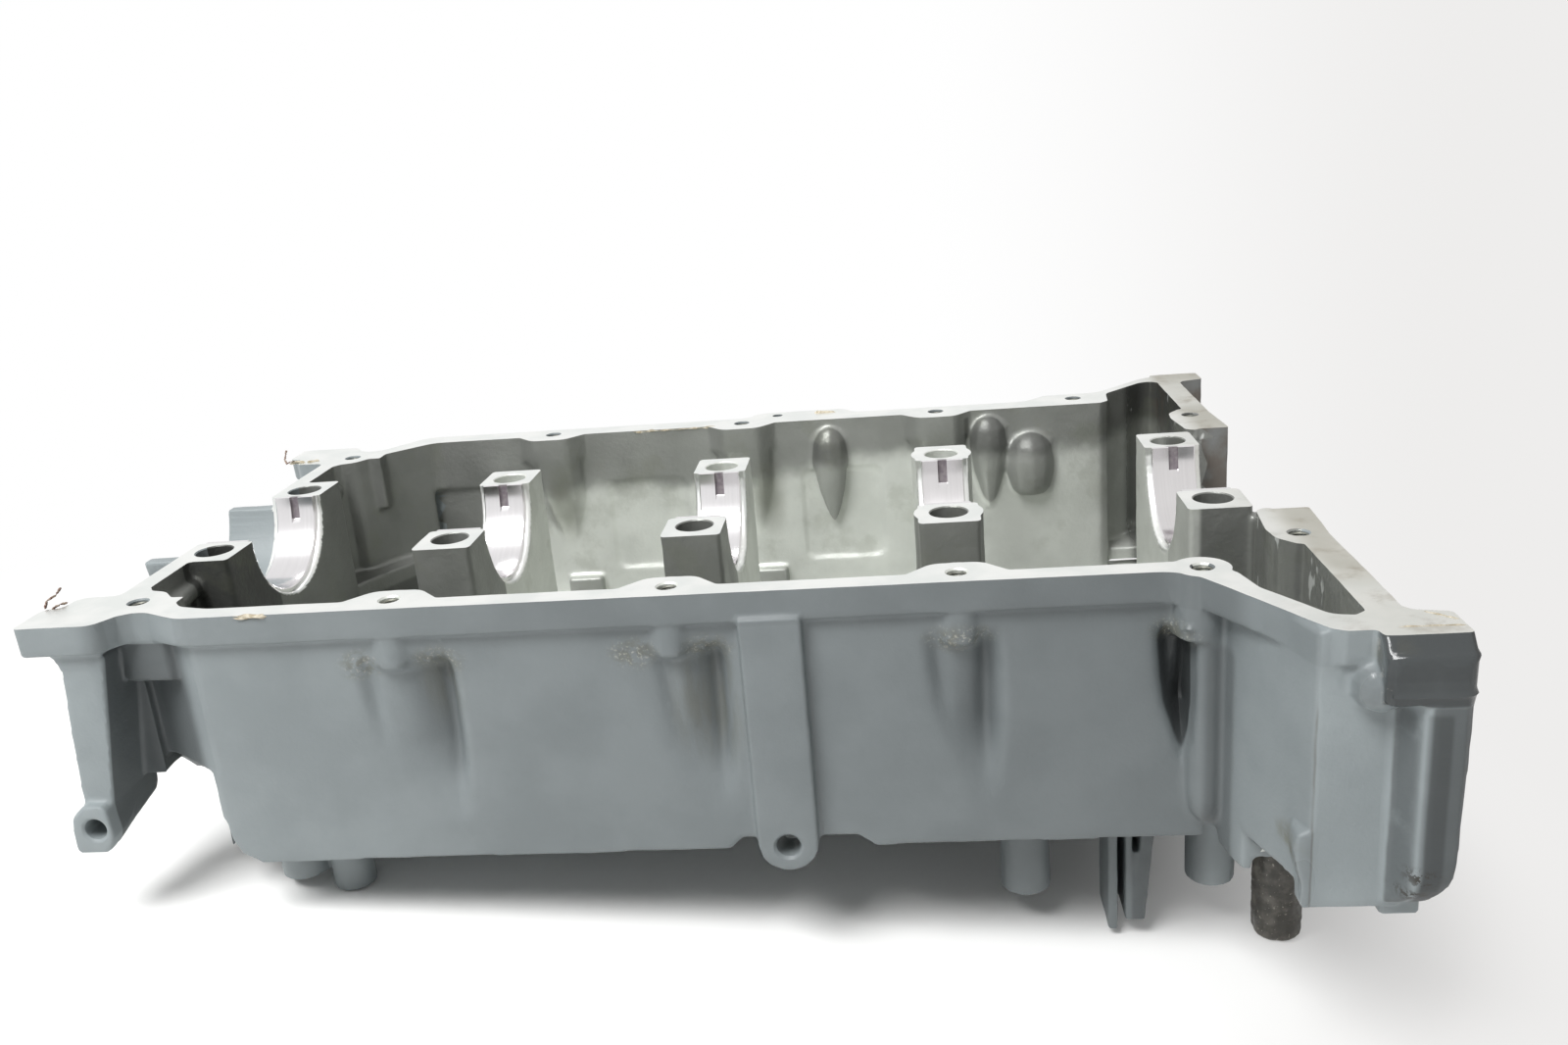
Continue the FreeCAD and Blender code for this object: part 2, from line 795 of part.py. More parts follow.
def wall_step(x):
    """Low block at the foot of the far wall beside a bulkhead."""
    return Part.makeBox(step_length, 7.0, floor_depth - step_depth + 1.0,
                        V(x, far_inner - 6.0, -floor_depth - 1.0))


def gallery_rib(side):
    """Round oil-gallery rib on the inside of the left end wall."""
    start = V(left_inner_x, side * (bulkhead_length / 2 - 6.0), -10.0)
    end = V(left_inner_x, side * gallery_end_y, -flange_thickness - 1.5)
    return rod(start, end, 4.0)


def right_boss(side):
    """Broad boss at one side of the crank opening."""
    points = [
        (right_wall_inner_x + 1.0, right_bolt_y + 15.5, 4),
        (right_wall_inner_x - 7.5, right_bolt_y + 4.5, 5),
        (right_wall_inner_x - 8.5, right_bolt_y - 4.5, 6),
        (right_wall_inner_x - 6.0, crank_opening_half - 1.5, 3),
        (right_wall_x + 2.0, crank_opening_half - 1.0, 1),
        (right_wall_x, right_bolt_y + 3.5, 3),
    ]
    boss = prism(points, 0.0, 30.0)
    if side < 0:
        boss = boss.mirror(V(0, 0, 0), Y_AXIS)
    return boss


def end_tie(side):
    """Rib that ties the last bulkhead to the right end wall."""
    start_x = right_web_x + bulkhead_width / 2 - 0.5
    length = right_wall_inner_x - start_x
    near = bulkhead_length / 2 - 6.0
    width = crank_opening_half + 2.0 - near
    tie = Part.makeBox(length, width, floor_depth - 3.0, V(start_x, near, -floor_depth - 1.0))
    if side < 0:
        tie = tie.mirror(V(0, 0, 0), Y_AXIS)
    return tie


def crank_opening():
    """Half-round way out of the chamber for the output end of the crank."""
    length = right_end_x - right_web_x
    start_x = right_wall_inner_x - 1.0
    drop = crank_opening_drop
    round_part = Part.makeCylinder(crank_opening_half, length, V(start_x, 0, -drop), X_AXIS)
    straight = Part.makeBox(length, 2 * crank_opening_half, drop + 2.0,
                            V(start_x, -crank_opening_half, -drop))
    return round_part.fuse(straight)


def round_foot(x, y, radius, depth):
    """Round cast boss on the underside."""
    return Part.makeCylinder(radius, depth - floor_underside + 1.0, V(x, y, -depth))


def fin_bracket():
    """Three fins joined near their feet."""
    top = floor_underside - 1.0
    bottom = left_foot_depth + 24.0
    x = right_web_x - 48.5
    first = Part.makeBox(3.6, 24.0, bottom - top, V(x, -foot_y - 10.0, -bottom))
    second = Part.makeBox(3.0, 24.0, bottom - top - 4.0, V(x + 6.2, -foot_y - 10.0, -bottom + 4.0))
    slanted = Part.Face(Part.makePolygon([
        V(x + 13.5, -foot_y - 10.0, -top),
        V(x + 18.5, -foot_y - 10.0, -top),
        V(x + 13.5, -foot_y - 10.0, -bottom + 4.0),
        V(x + 8.5, -foot_y - 10.0, -bottom + 4.0),
        V(x + 13.5, -foot_y - 10.0, -top),
    ])).extrude(V(0, 24.0, 0))
    back = Part.makeBox(13.0, 3.5, bottom - top - 4.0, V(x + 0.5, -foot_y + 8.0, -bottom + 4.0))
    return [first, second, slanted, back]


def underside_pieces():
    pieces = [
        round_foot(left_foot_x, -foot_y, foot_radius, left_foot_depth),
        round_foot(left_foot_x, foot_y, foot_radius, left_foot_depth),
        round_foot(left_foot_x - 19.0, -foot_y, 9.4, left_foot_depth - 6.5),
        round_foot(bore_pitch + 21.8, -foot_y, 9.2, left_foot_depth + 8.5),
        round_foot(right_web_x - 9.5, -foot_y, 9.0, left_foot_depth + 7.0),
        round_foot(right_foot_x, foot_y, hose_radius, right_foot_depth),
    ]
    pieces += fin_bracket()
    pad = Part.makeCylinder(hose_radius + 1.5, skirt_depth - floor_underside + 1.0,
                            V(right_foot_x, -foot_y, -skirt_depth))
    spigot = Part.makeCylinder(hose_bore_radius - spigot_clearance, spigot_length + 1.0,
                               V(right_foot_x, -foot_y, -skirt_depth - spigot_length))
    return pieces + [pad, spigot]


def bearing_bore():
    length = right_web_x - left_web_x + bulkhead_width + 2.0
    start = V(left_web_x - bulkhead_width / 2 - 1.0, 0, 0)
    return Part.makeCylinder(housing_radius, length, start, X_AXIS)


def seal_bore():
    length = left_wall_x - seal_tube_end_x + 3.0
    return Part.makeCylinder(seal_bore_radius, length, V(seal_tube_end_x - 2.0, 0, 0), X_AXIS)


def tang_notch(x):
    """Notch in the housing for the locating tang of one shell."""
    w = tang_width + 2 * tang_clearance
    reach = housing_radius + tang_height + tang_clearance
    ring = Part.makeCylinder(reach, w, V(x - w / 2, 0, 0), X_AXIS)
    tall = tang_length + tang_clearance
    window = Part.makeBox(w, 12.0, tall + 1.0, V(x - w / 2, housing_radius - 9.0, -tall))
    return ring.common(window)


def main_holes():
    tools = []
    for x in web_positions:
        for side in (-1, 1):
            y = side * main_bolt_spacing / 2
            tools.append(Part.makeCylinder(main_hole_radius, main_hole_depth + 1.0,
                                           V(x, y, -main_hole_depth)))
            tools.append(Part.makeCylinder(main_bolt_radius, floor_underside + 2.0,
                                           V(x, y, -floor_underside - 1.0)))
    return tools


def flange_holes():
    tools = []
    depth = flange_hole_depth
    for x, y in near_holes + far_holes:
        tools.append(Part.makeCylinder(flange_hole_radius, depth + 1.0, V(x, y, -depth)))
    for side in (-1, 1):
        tools.append(Part.makeCylinder(flange_hole_radius, depth + 1.0,
                                       V(right_bolt_x, side * right_bolt_y, -depth)))
    place = V(far_tab_x - 12.3, far_edge + 2.4, -far_tab_hole_depth)
    tools.append(Part.makeCylinder(far_tab_hole_radius, far_tab_hole_depth + 1.0, place))
    return tools


def eye_holes():
    tools = []
    for side in (-1, 1):
        start = V(eye_x, side * (plate_half_width + 4.0), -eye_depth)
        tools.append(Part.makeCylinder(eye_hole_radius, eye_hole_depth + 2.0, start, V(0, -side, 0)))
    start = V(strap_x, -near_wall - strap_proud - 2.0, -strap_eye_depth - 1.0)
    tools.append(Part.makeCylinder(strap_hole_radius, 18.0, start, Y_AXIS))
    return tools


def casting():
    shell = outer_shell().cut([flare_rise(-1), flare_rise(1), skirt_corner(), skirt_notch()])
    body = flange_plate().fuse([shell, corner_post(-1), corner_post(1)])
    body = body.cut(chamber().fuse(underside_recess()))
    added = [end_leg(-1), end_leg(1), seal_tube(), strap()]
    for x in web_positions:
        added.append(bulkhead(x))
    for side in (-1, 1):
        y = side * main_bolt_spacing / 2
        added.append(bolt_column(bore_pitch, y, bolt_boss_radius))
        added.append(end_tie(side))
        added.append(gallery_rib(side))
        added.append(right_boss(side))
        added.append(corner_boss(side))
        added.append(flare_floor(side))
    for x in (-bore_pitch, 0.0, bore_pitch):
        added.append(flange_lobe(x, -near_inner, -1))
        added.append(inner_bulge(x, -near_inner, -1))
        added.append(flange_lobe(x, far_inner, 1))
        added.append(inner_bulge(x, far_inner, 1))
        if x != bore_pitch:
            added.append(wall_step(x))
    added += [end_bulge(), end_column()]
    for holes in (near_holes, far_holes):
        added.append(flange_boss(holes[0], boss_depth + 4.0))
        added += [flange_boss(place, boss_depth) for place in holes[1:]]
    added.append(wall_dimple(0.45 * bore_pitch, 4.0, 58.0, 10.0, 0.33, 0.0))
    added.append(wall_dimple(bore_pitch + 26.0, 3.0, 51.0, 10.0, 0.3, 0.0))
    added.append(wall_dimple(bore_pitch + 47.0, 13.0, 45.5, 12.5, 0.45, 1.0))
    added += underside_pieces()
    body = body.fuse(added)
    removed = [bearing_bore(), seal_bore(), crank_opening()]
    removed += [tang_notch(x) for x in web_positions]
    removed += main_holes() + flange_holes() + eye_holes()
    for x in (-bore_pitch, 0.0, bore_pitch):
        removed.append(outer_scoop(x, -near_wall, -1))
        removed.append(outer_scoop(x, far_wall, 1))
    removed.append(end_scoop())
    for x in (-1.53 * bore_pitch, -0.525 * bore_pitch, 0.5 * bore_pitch):
        removed.append(wall_panel(x))
    body = body.cut(removed)
    return body.removeSplitter()


def bearing_shell(x):
    start = V(x - shell_width / 2, 0, 0)
    outer = Part.makeCylinder(housing_radius, shell_width, start, X_AXIS)
    bore = V(x - shell_width / 2 - 1.0, 0, 0)
    inner = Part.makeCylinder(housing_radius - shell_thickness, shell_width + 2.0, bore, X_AXIS)
    reach = housing_radius + tang_height
    left = x - tang_width / 2
    window = Part.makeBox(tang_width, 12.0, tang_length, V(left, housing_radius - 9.0, -tang_length))
    tang = Part.makeCylinder(reach, tang_width, V(left, 0, 0), X_AXIS).common(window)
    hollow_radius = housing_radius - shell_thickness + tang_height
    hollow = Part.makeCylinder(hollow_radius, tang_width - 1.0, V(left + 0.5, 0, 0), X_AXIS)
    window_in = Part.makeBox(tang_width, 12.0, tang_length + 1.0,
                             V(left, housing_radius - 11.0, -tang_length + 0.5))
    room = housing_radius + 10.0
    above = Part.makeBox(shell_width + 2.0, 2 * room, room, V(x - shell_width / 2 - 1.0, -room, 0))
    shape = outer.fuse(tang).cut([inner, above, hollow.common(window_in)])
    return shape.removeSplitter()


def hose_stub():
    """Length of hose pushed over the spigot up to its pad."""
    length = right_foot_depth - skirt_depth
    foot = V(right_foot_x, -foot_y, -right_foot_depth)
    shank = Part.makeCylinder(hose_radius, length, foot)
    bore = Part.makeCylinder(hose_bore_radius, length + 2.0, foot - Z_AXIS)
    return shank.cut(bore)


casting().exportStep("parts/crankcase_casting.step")
for number, position in enumerate(web_positions, 1):
    bearing_shell(position).exportStep("parts/main_bearing_shell_%d.step" % number)
hose_stub().exportStep("parts/drain_hose_stub.step")
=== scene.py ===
"""Looks of the crankcase half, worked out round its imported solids."""
import bpy
import bmesh
import math
import numpy as np
from mathutils import Matrix, Vector


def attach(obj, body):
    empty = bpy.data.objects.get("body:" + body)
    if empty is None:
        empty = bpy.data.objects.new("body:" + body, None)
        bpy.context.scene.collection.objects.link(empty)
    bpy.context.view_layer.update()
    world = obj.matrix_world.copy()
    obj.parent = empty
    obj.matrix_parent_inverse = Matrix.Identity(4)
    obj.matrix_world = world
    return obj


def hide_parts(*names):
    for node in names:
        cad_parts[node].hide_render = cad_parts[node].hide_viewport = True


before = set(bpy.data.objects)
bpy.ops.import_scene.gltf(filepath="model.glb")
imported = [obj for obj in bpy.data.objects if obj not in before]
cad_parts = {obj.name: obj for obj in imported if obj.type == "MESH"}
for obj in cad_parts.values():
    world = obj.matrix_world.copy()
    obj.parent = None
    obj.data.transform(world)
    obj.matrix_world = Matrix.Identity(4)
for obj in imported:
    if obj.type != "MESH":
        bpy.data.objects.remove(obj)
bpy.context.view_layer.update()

MM = 0.001
WEBS = (-200.0, -100.0, 0.0, 100.0, 200.0)
MAIN_HALF = 43.75
NEAR_BOLTS = ((-200.0, -101.3), (-100.0, -111.5), (0.0, -111.5), (100.0, -111.5), (180.0, -118.0))
FAR_BOLTS = ((-200.0, 102.5), (-100.0, 127.0), (0.0, 127.0), (100.0, 127.0), (170.5, 137.7))
END_BOLTS = ((219.0, -88.5), (219.0, 88.5))
HOUSING = 33.25
RUNNING = 31.25
SEAL_SEAT = 34.0
NEAR_WALL = 118.0
HALF_WEB = 11.8
HALF_SHELL = 9.25
TAB_HOLE = (17.7, 139.4)
LEG_EYE = (-222.4, 126.0, -80.5)
STRAP_EYE = (35.7, -123.0, -97.5)

# Feet as (x, z); the hose stub stands in the place of the near right one
LEFT_FOOT = (-144.0, -127.5)
RIGHT_FOOT = (215.7, -159.5)
HOSE_PLACE = (215.7, -90.0)
HOSE_FOOT, HOSE_TOP = -159.5, -101.0
HOSE_RADIUS, HOSE_BORE = 9.5, 6.0

# Turned profiles of the holes as (radius, height over the mouth)
MAIN_HOLE = ((7.75, 3.0), (7.75, 0.0), (7.3, -0.45), (7.3, -18.0), (5.6, -18.6), (5.6, -99.0))
LEG_HOLE = ((5.2, 3.0), (5.2, 0.0), (4.25, -0.9), (4.25, -16.0), (0.5, -18.0))
STRAP_HOLE = ((5.4, 3.0), (5.4, 0.0), (4.4, -1.0), (4.4, -20.0))

# Evenness of the casting's mesh, and its most triangles before the holes are cut
VOXEL, QUICK_VOXEL = 1.0, 1.8
MOST_TRIANGLES = 168000.0


# ---------------------------------------------------------------- mesh tools

def mesh_object(name, points, faces):
    """New object whose mesh has these points in millimetres and these faces."""
    mesh = bpy.data.meshes.new(name)
    mesh.from_pydata((np.asarray(points) * MM).tolist(), [], [tuple(f) for f in faces])
    mesh.update()
    piece = bpy.data.objects.new(name, mesh)
    bpy.context.scene.collection.objects.link(piece)
    return piece


def grid_faces(rows, columns, close_rows=False, close_columns=False):
    """Quads of a grid of rows by columns points, either way closed on itself."""
    row = np.arange(rows if close_rows else rows - 1)
    column = np.arange(columns if close_columns else columns - 1)
    r, c = [a.ravel() for a in np.meshgrid(row, column, indexing="ij")]
    r2 = (r + 1) % rows
    c2 = (c + 1) % columns
    return np.stack([r * columns + c, r * columns + c2, r2 * columns + c2, r2 * columns + c], 1)


def points_of(mesh):
    """Points of a mesh in millimetres, one row each."""
    flat = np.empty(len(mesh.vertices) * 3, np.float32)
    mesh.vertices.foreach_get("co", flat)
    return flat.reshape(-1, 3).astype(float) / MM


def put_points(mesh, points):
    """Moves a mesh's points to these places in millimetres."""
    mesh.vertices.foreach_set("co", (points * MM).astype(np.float32).ravel())
    mesh.update()


def finished_mesh(piece):
    """The piece's mesh with its modifiers applied, in place of the old one."""
    graph = bpy.context.evaluated_depsgraph_get()
    mesh = bpy.data.meshes.new_from_object(piece.evaluated_get(graph))
    piece.modifiers.clear()
    piece.data = mesh
    return mesh


def lathe(name, profile, start, axis, segments, closed_ends=True):
    """Turned surface: a profile of (radius, height) points is carried round an axis.

    A point is start + height * axis + radius * (cos a * first + sin a * second)."""
    profile = np.array(profile, float)
    axis = np.array(axis, float)
    first = np.array([1.0, 0, 0]) if abs(axis[0]) < 0.5 else np.array([0, 1.0, 0])
    second = np.cross(axis, first)
    a = np.linspace(0, 2 * np.pi, segments, endpoint=False)
    ring = np.cos(a)[:, None] * first + np.sin(a)[:, None] * second
    pts = (np.array(start) + profile[:, 1][:, None, None] * axis
           + profile[:, 0][:, None, None] * ring[None])
    faces = grid_faces(len(profile), segments, close_columns=True).tolist()
    if closed_ends:
        faces.append(list(range(segments))[::-1])
        faces.append(list(range((len(profile) - 1) * segments, len(profile) * segments)))
    piece = mesh_object(name, pts.reshape(-1, 3), faces)
    outwards(piece)
    return piece


def outwards(piece):
    """Turns every face of a closed mesh outwards."""
    work = bmesh.new()
    work.from_mesh(piece.data)
    bmesh.ops.recalc_face_normals(work, faces=work.faces)
    work.to_mesh(piece.data)
    work.free()


def joined(name, pieces):
    """One object holding the meshes of several, which are removed."""
    work = bmesh.new()
    for piece in pieces:
        work.from_mesh(piece.data)
    mesh = bpy.data.meshes.new(name)
    work.to_mesh(mesh)
    work.free()
    for piece in pieces:
        bpy.data.objects.remove(piece)
    whole = bpy.data.objects.new(name, mesh)
    bpy.context.scene.collection.objects.link(whole)
    return whole


def smooth_faces(piece, angle=None):
    """Smooth shading, with edges sharper than the angle in degrees kept crisp."""
    mesh = piece.data
    mesh.polygons.foreach_set("use_smooth", np.ones(len(mesh.polygons), bool))
    if angle is not None:
        mesh.set_sharp_from_angle(angle=math.radians(angle))
    mesh.update()


# ------------------------------------------------------------ the casting

def relaxed(points, edges, weight, rounds):
    """Each point moves towards the mean of its neighbours by its own weight, again and again."""
    count = len(points)
    a, b = edges[:, 0], edges[:, 1]
    degree = np.bincount(a, minlength=count) + np.bincount(b, minlength=count)
    degree = np.maximum(degree, 1)
    for _ in range(rounds):
        for k in range(3):
            c = points[:, k]
            total = np.bincount(a, weights=c[b], minlength=count)
            total += np.bincount(b, weights=c[a], minlength=count)
            points[:, k] = c + weight * (total / degree - c)
    return points


def edges_of(mesh):
    """The two point numbers of each edge."""
    flat = np.empty(len(mesh.edges) * 2, np.int32)
    mesh.edges.foreach_get("vertices", flat)
    return flat.reshape(-1, 2)


def normals_of(mesh):
    """Outward direction at each point."""
    flat = np.empty(len(mesh.vertices) * 3, np.float32)
    mesh.vertices.foreach_get("normal", flat)
    return flat.reshape(-1, 3)


def smooth_step(v, low, high):
    """0 below low, 1 above high, and a soft S between."""
    t = np.clip((v - low) / (high - low), 0, 1)
    return t * t * (3 - 2 * t)


def waves(p, length, seed):
    """Irregular waves of about this length: the mean of nine sines in fixed odd directions."""
    total = np.zeros(len(p))
    for k in range(9):
        a = 2.39996 * (k + 1) + seed
        c = math.cos(1.3 * k + seed)
        way = np.array([math.cos(a) * math.sqrt(1 - c * c), math.sin(a) * math.sqrt(1 - c * c), c])
        total += np.sin(p @ way * (2 * np.pi / length) * (0.8 + 0.06 * k) + 1.7 * k * seed)
    return total / 3.0


def solid_levels(x, z, hollow):
    """Where a point lies across one of the solid's own plain hollows, and their depth there."""
    if hollow[0] == 171.0:
        return np.abs(x - 171.0) < 6.4, np.interp(-z, (24, 44, 60, 71), (10, 9, 5, 0))
    return np.abs(x - hollow[0]) < 17.6, np.interp(-z, (24, 50, 70, 88), (10, 7.5, 3.5, 0))


def plain_skin():
    """The casting's solid as one closed mesh, its near hollows filled and its top raised.

    The parting face and the hollows are cut and carved again later."""
    raised = 4.0
    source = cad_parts["crankcase_casting"]
    skin = bpy.data.objects.new("skin", source.data.copy())
    bpy.context.scene.collection.objects.link(skin)
    work = bmesh.new()
    work.from_mesh(skin.data)
    bmesh.ops.remove_doubles(work, verts=work.verts, dist=2e-6)
    work.to_mesh(skin.data)
    work.free()
    p = points_of(skin.data)
    x, y, z = p.T
    for hollow in NEAR_HOLLOWS:
        across, reach = solid_levels(x, z, hollow)
        here = across & (z < -23.9) & (z > -88.2) & (y > 0.01 - NEAR_WALL) & (y < 1.0 - NEAR_WALL + reach)
        p[here, 1] = -NEAR_WALL
    p[z > -0.01, 2] = raised
    put_points(skin.data, p)
    return skin


def cast_body():
    """The casting: its solid's skin, remeshed evenly, drawn back onto the solid and softened
    as sand-cast metal is, then carved, cut flat at the parting face and bored."""
    skin = plain_skin()
    body = bpy.data.objects.new("crankcase_body", skin.data.copy())
    bpy.context.scene.collection.objects.link(body)
    remesh = body.modifiers.new("even", "REMESH")
    remesh.mode = "VOXEL"
    remesh.voxel_size = VOXEL * MM
    mesh = finished_mesh(body)
    edges = edges_of(mesh)
    put_points(mesh, relaxed(points_of(mesh), edges, 0.5, 3))
    back = body.modifiers.new("back", "SHRINKWRAP")
    back.target = skin
    back.wrap_method = "NEAREST_SURFACEPOINT"
    mesh = finished_mesh(body)
    bpy.data.objects.remove(skin)
    p = relaxed(points_of(mesh), edges, 0.5, 2)
    put_points(mesh, p)
    p = near_hollows(p, normals_of(mesh))
    p = relaxed(p, edges, 0.5 * soft_places(p), 8)
    put_points(mesh, p)
    n = normals_of(mesh)
    p += n * cast_roughness(p)[:, None]
    put_points(mesh, p)
    thin = body.modifiers.new("thin", "DECIMATE")
    thin.ratio = min(1.0, MOST_TRIANGLES / (2 * len(mesh.polygons)))
    finished_mesh(body)
    cut(body, top_cutter())
    cut(body, bore_cutter())
    cut(body, hole_cutter())
    return body


# Hollows of the near wall: bolt x, left edge at the top and its lean, right edge, left
# valley, its drift, right valley, depth, foot below the parting face
NEAR_HOLLOWS = (
    (-100.0, -17.0, 24.0, 23.5, -11.0, 6.0, 16.6, 7.5, 90.0),
    (0.0, -17.0, 22.0, 22.5, -4.5, 9.0, 14.6, 7.5, 89.0),
    (100.0, -16.0, 20.0, 15.5, -9.0, 7.0, 8.2, 7.0, 88.0),
    (171.0, -9.0, 14.5, 6.6, -2.0, 2.0, 5.2, 9.5, 79.0),
)


def hollow_depth(x, z, hollow):
    """How far a hollow under a flange bolt lies behind the wall.

    Its outline is a leaf: the left edge leans right towards the foot, the right edge
    stays upright. The depth grows slowly from the left edge to the right valley and comes
    back steeply beyond it. Under the bolt a low ridge stands between that valley and a
    narrow left one. All of it fades in under the flange and out towards the foot."""
    bolt, left, lean, right, valley, drift, deep, depth, foot = hollow
    down = np.clip((-z - 20.0) / (foot - 20.0), 0, 1)
    start = bolt + left + lean * down ** 1.6
    finish = bolt + right - 3.0 * down ** 3
    trough = bolt + deep - 2.0 * down ** 3
    rise = np.clip((x - start) / np.maximum(trough - start, 1.0), 0, 1)
    fall = 1 - smooth_step(x, trough + 0.3, finish)
    shape = (0.75 * smooth_step(rise, 0, 1) + 0.25 * rise) * fall
    ridge = 0.42 * np.exp(-((x - bolt - 2.5 - 3 * down) / 7.0) ** 2) * (1 - smooth_step(down, 0.1, 0.6))
    narrow = 0.38 * np.exp(-((x - bolt - valley - drift * down) / 2.2) ** 2)
    narrow *= 1 - smooth_step(down, 0.15, 0.62)
    sharp = 0.30 * np.exp(-((x - trough) / 2.2) ** 2) * (1 - smooth_step(down, 0.5, 0.95))
    fade = smooth_step(-z, 17.0, 27.0) * (1 - smooth_step(down, 0.45, 1.0))
    return depth * fade * np.clip(shape * (1.0 + sharp) - ridge * fall * rise ** 0.3 + narrow * fall, 0, 1.3)


def near_hollows(p, n):
    """Carves the hollows into the outer skin of the near wall."""
    x, y, z = p.T
    outer = (n[:, 1] < -0.55) & (y < -116.6) & (y > -119.2)
    for hollow in NEAR_HOLLOWS:
        here = outer & (np.abs(x - hollow[0]) < 27) & (z < -16.5) & (z > -94)
        p[here, 1] += hollow_depth(x[here], z[here], hollow)
    return p


def soft_places(p):
    """Where the casting is rounder than its edges elsewhere: 1 there and 0 on crisp places."""
    x, y, z = p.T
    soft = np.zeros(len(p))
    for hollow in NEAR_HOLLOWS:
        near = (np.abs(x - hollow[0]) < 26) * (y < -104)
        soft = np.maximum(soft, near * smooth_step(-z, 13, 20) * 0.8)
    far = smooth_step(y, 90, 100) * (y < 127.5) * (x < 190) * smooth_step(-z, 4, 9)
    inside = (np.abs(y) < 60) & (x > -200) & (x < 214) & (z < -3)
    return np.maximum(soft, np.maximum(far, 0.35 * inside))


def cast_roughness(p):
    """Outward shift of the skin: shallow waves everywhere, lumps of sealant beside the bolts."""
    x, y, z = p.T
    shift = 0.10 * waves(p, 34.0, 1.0) + 0.05 * waves(p, 11.0, 2.2)
    lumps = np.maximum(waves(p, 4.2, 3.1), 0) * np.maximum(waves(p, 9.0, 4.7) + 0.5, 0)
    for cx, wide in ((-112.0, 8.0), (-86.0, 9.0), (-13.0, 7.0), (12.0, 6.0), (176.0, 8.0)):
        near = np.exp(-((x - cx) / wide) ** 2 - ((z + 20.0) / 5.0) ** 2) * (y < -114)
        shift += 0.9 * near * lumps
    head = (x > 217.5) & (y < -183)
    for level, height in ((-5.4, 0.55), (-16.4, 0.7)):
        shift += head * height * np.exp(-((z - level) / 0.9) ** 2)
    return shift


def cut(body, cutter):
    """Takes the cutter's volume out of the body, and removes the cutter."""
    step = body.modifiers.new("cut", "BOOLEAN")
    step.operation = "DIFFERENCE"
    step.solver = "MANIFOLD"
    step.object = cutter
    finished_mesh(body)
    bpy.data.objects.remove(cutter)


def top_cutter():
    """Everything above the parting face."""
    corners = [(x, y, z) for x in (-300, 300) for y in (-250, 250) for z in (0, 30)]
    faces = [(0, 1, 3, 2), (4, 6, 7, 5), (0, 4, 5, 1), (2, 3, 7, 6), (0, 2, 6, 4), (1, 5, 7, 3)]
    box = mesh_object("top", corners, faces)
    outwards(box)
    return box


def bore_cutter():
    """Line bore: one turned profile along the crank axis, wider by a chamfer at each web face."""
    profile = [(SEAL_SEAT, -240.0), (SEAL_SEAT, -211.9), (HOUSING, -211.5)]
    for x in WEBS:
        for side in (-1, 1):
            face = x + side * HALF_WEB
            if x == WEBS[0] and side < 0:
                continue
            steps = [(34.6, face + side * 0.6), (34.3, face), (HOUSING, face - side * 1.05)]
            profile += steps if side < 0 else steps[::-1]
    return lathe("bores", profile, (0, 0, 0), (1, 0, 0), 160)


def drilled(x, y, radius, depth, chamfer, segments=48):
    """Profile of a drilled hole: chamfer, straight wall, drill point."""
    return lathe("hole", [(radius + chamfer, 3.0), (radius + chamfer, 0.0), (radius, -chamfer),
                          (radius, -depth), (0.12 * radius, -depth - 0.5 * radius)],
                 (x, y, 0), (0, 0, 1), segments)


# Ends of the damaged stretch of the near flange edge
NICK = ((-155.0, -121.6, 0.2), (-139.5, -121.8, -0.2))


def ragged_rod(name, ends, radius, rough, seed, sides=10, spacing=0.8):
    """Closed rod between two points whose radius wanders by the share rough, as dried
    sealant or a torn edge does; it narrows to a blunt tip at both ends."""
    start, finish = np.array(ends[0], float), np.array(ends[1], float)
    along = (finish - start) / np.linalg.norm(finish - start)
    first = np.cross(along, (0, 0, 1.0))
    first /= np.linalg.norm(first)
    second = np.cross(along, first)
    rows = max(4, int(np.linalg.norm(finish - start) / spacing))
    t = np.linspace(0, 1, rows)
    a = np.linspace(0, 2 * np.pi, sides, endpoint=False)
    centre = start + t[:, None, None] * (finish - start)
    way = np.cos(a)[:, None] * first + np.sin(a)[:, None] * second
    pts = (centre + way[None]).reshape(-1, 3)
    size = radius * (1 + rough * waves(pts * np.array([1, 6, 6]), 7.0, seed)).reshape(rows, sides)
    size *= np.minimum(1, 0.25 + 6 * np.minimum(t, 1 - t))[:, None]
    pts = (centre + way[None] * size[:, :, None]).reshape(-1, 3)
    faces = grid_faces(rows, sides, close_columns=True).tolist()
    faces.append(list(range(sides))[::-1])
    faces.append(list(range((rows - 1) * sides, rows * sides)))
    piece = mesh_object(name, pts, faces)
    outwards(piece)
    return piece


def hole_cutter():
    """All the drilled holes of the parting face and the legs in one cutter."""
    holes = []
    for x in WEBS:
        for side in (-1, 1):
            holes.append(lathe("hole", MAIN_HOLE, (x, side * MAIN_HALF, 0), (0, 0, 1), 64))
    for x, y in NEAR_BOLTS + FAR_BOLTS + END_BOLTS:
        holes.append(drilled(x, y, 3.45, 19.0, 0.6))
    holes.append(drilled(*TAB_HOLE, 2.5, 7.5, 0.2, 32))
    for side in (-1, 1):
        eye = (LEG_EYE[0], side * LEG_EYE[1], LEG_EYE[2])
        holes.append(lathe("hole", LEG_HOLE, eye, (0, side, 0), 48))
    holes.append(lathe("hole", STRAP_HOLE, STRAP_EYE, (0, -1, 0), 48))
    holes.append(ragged_rod("nick", NICK, 1.5, 0.5, 3.0))
    return joined("holes", holes)


body = cast_body()
smooth_faces(body, 40)


# ------------------------------------------------------------ bearing shells

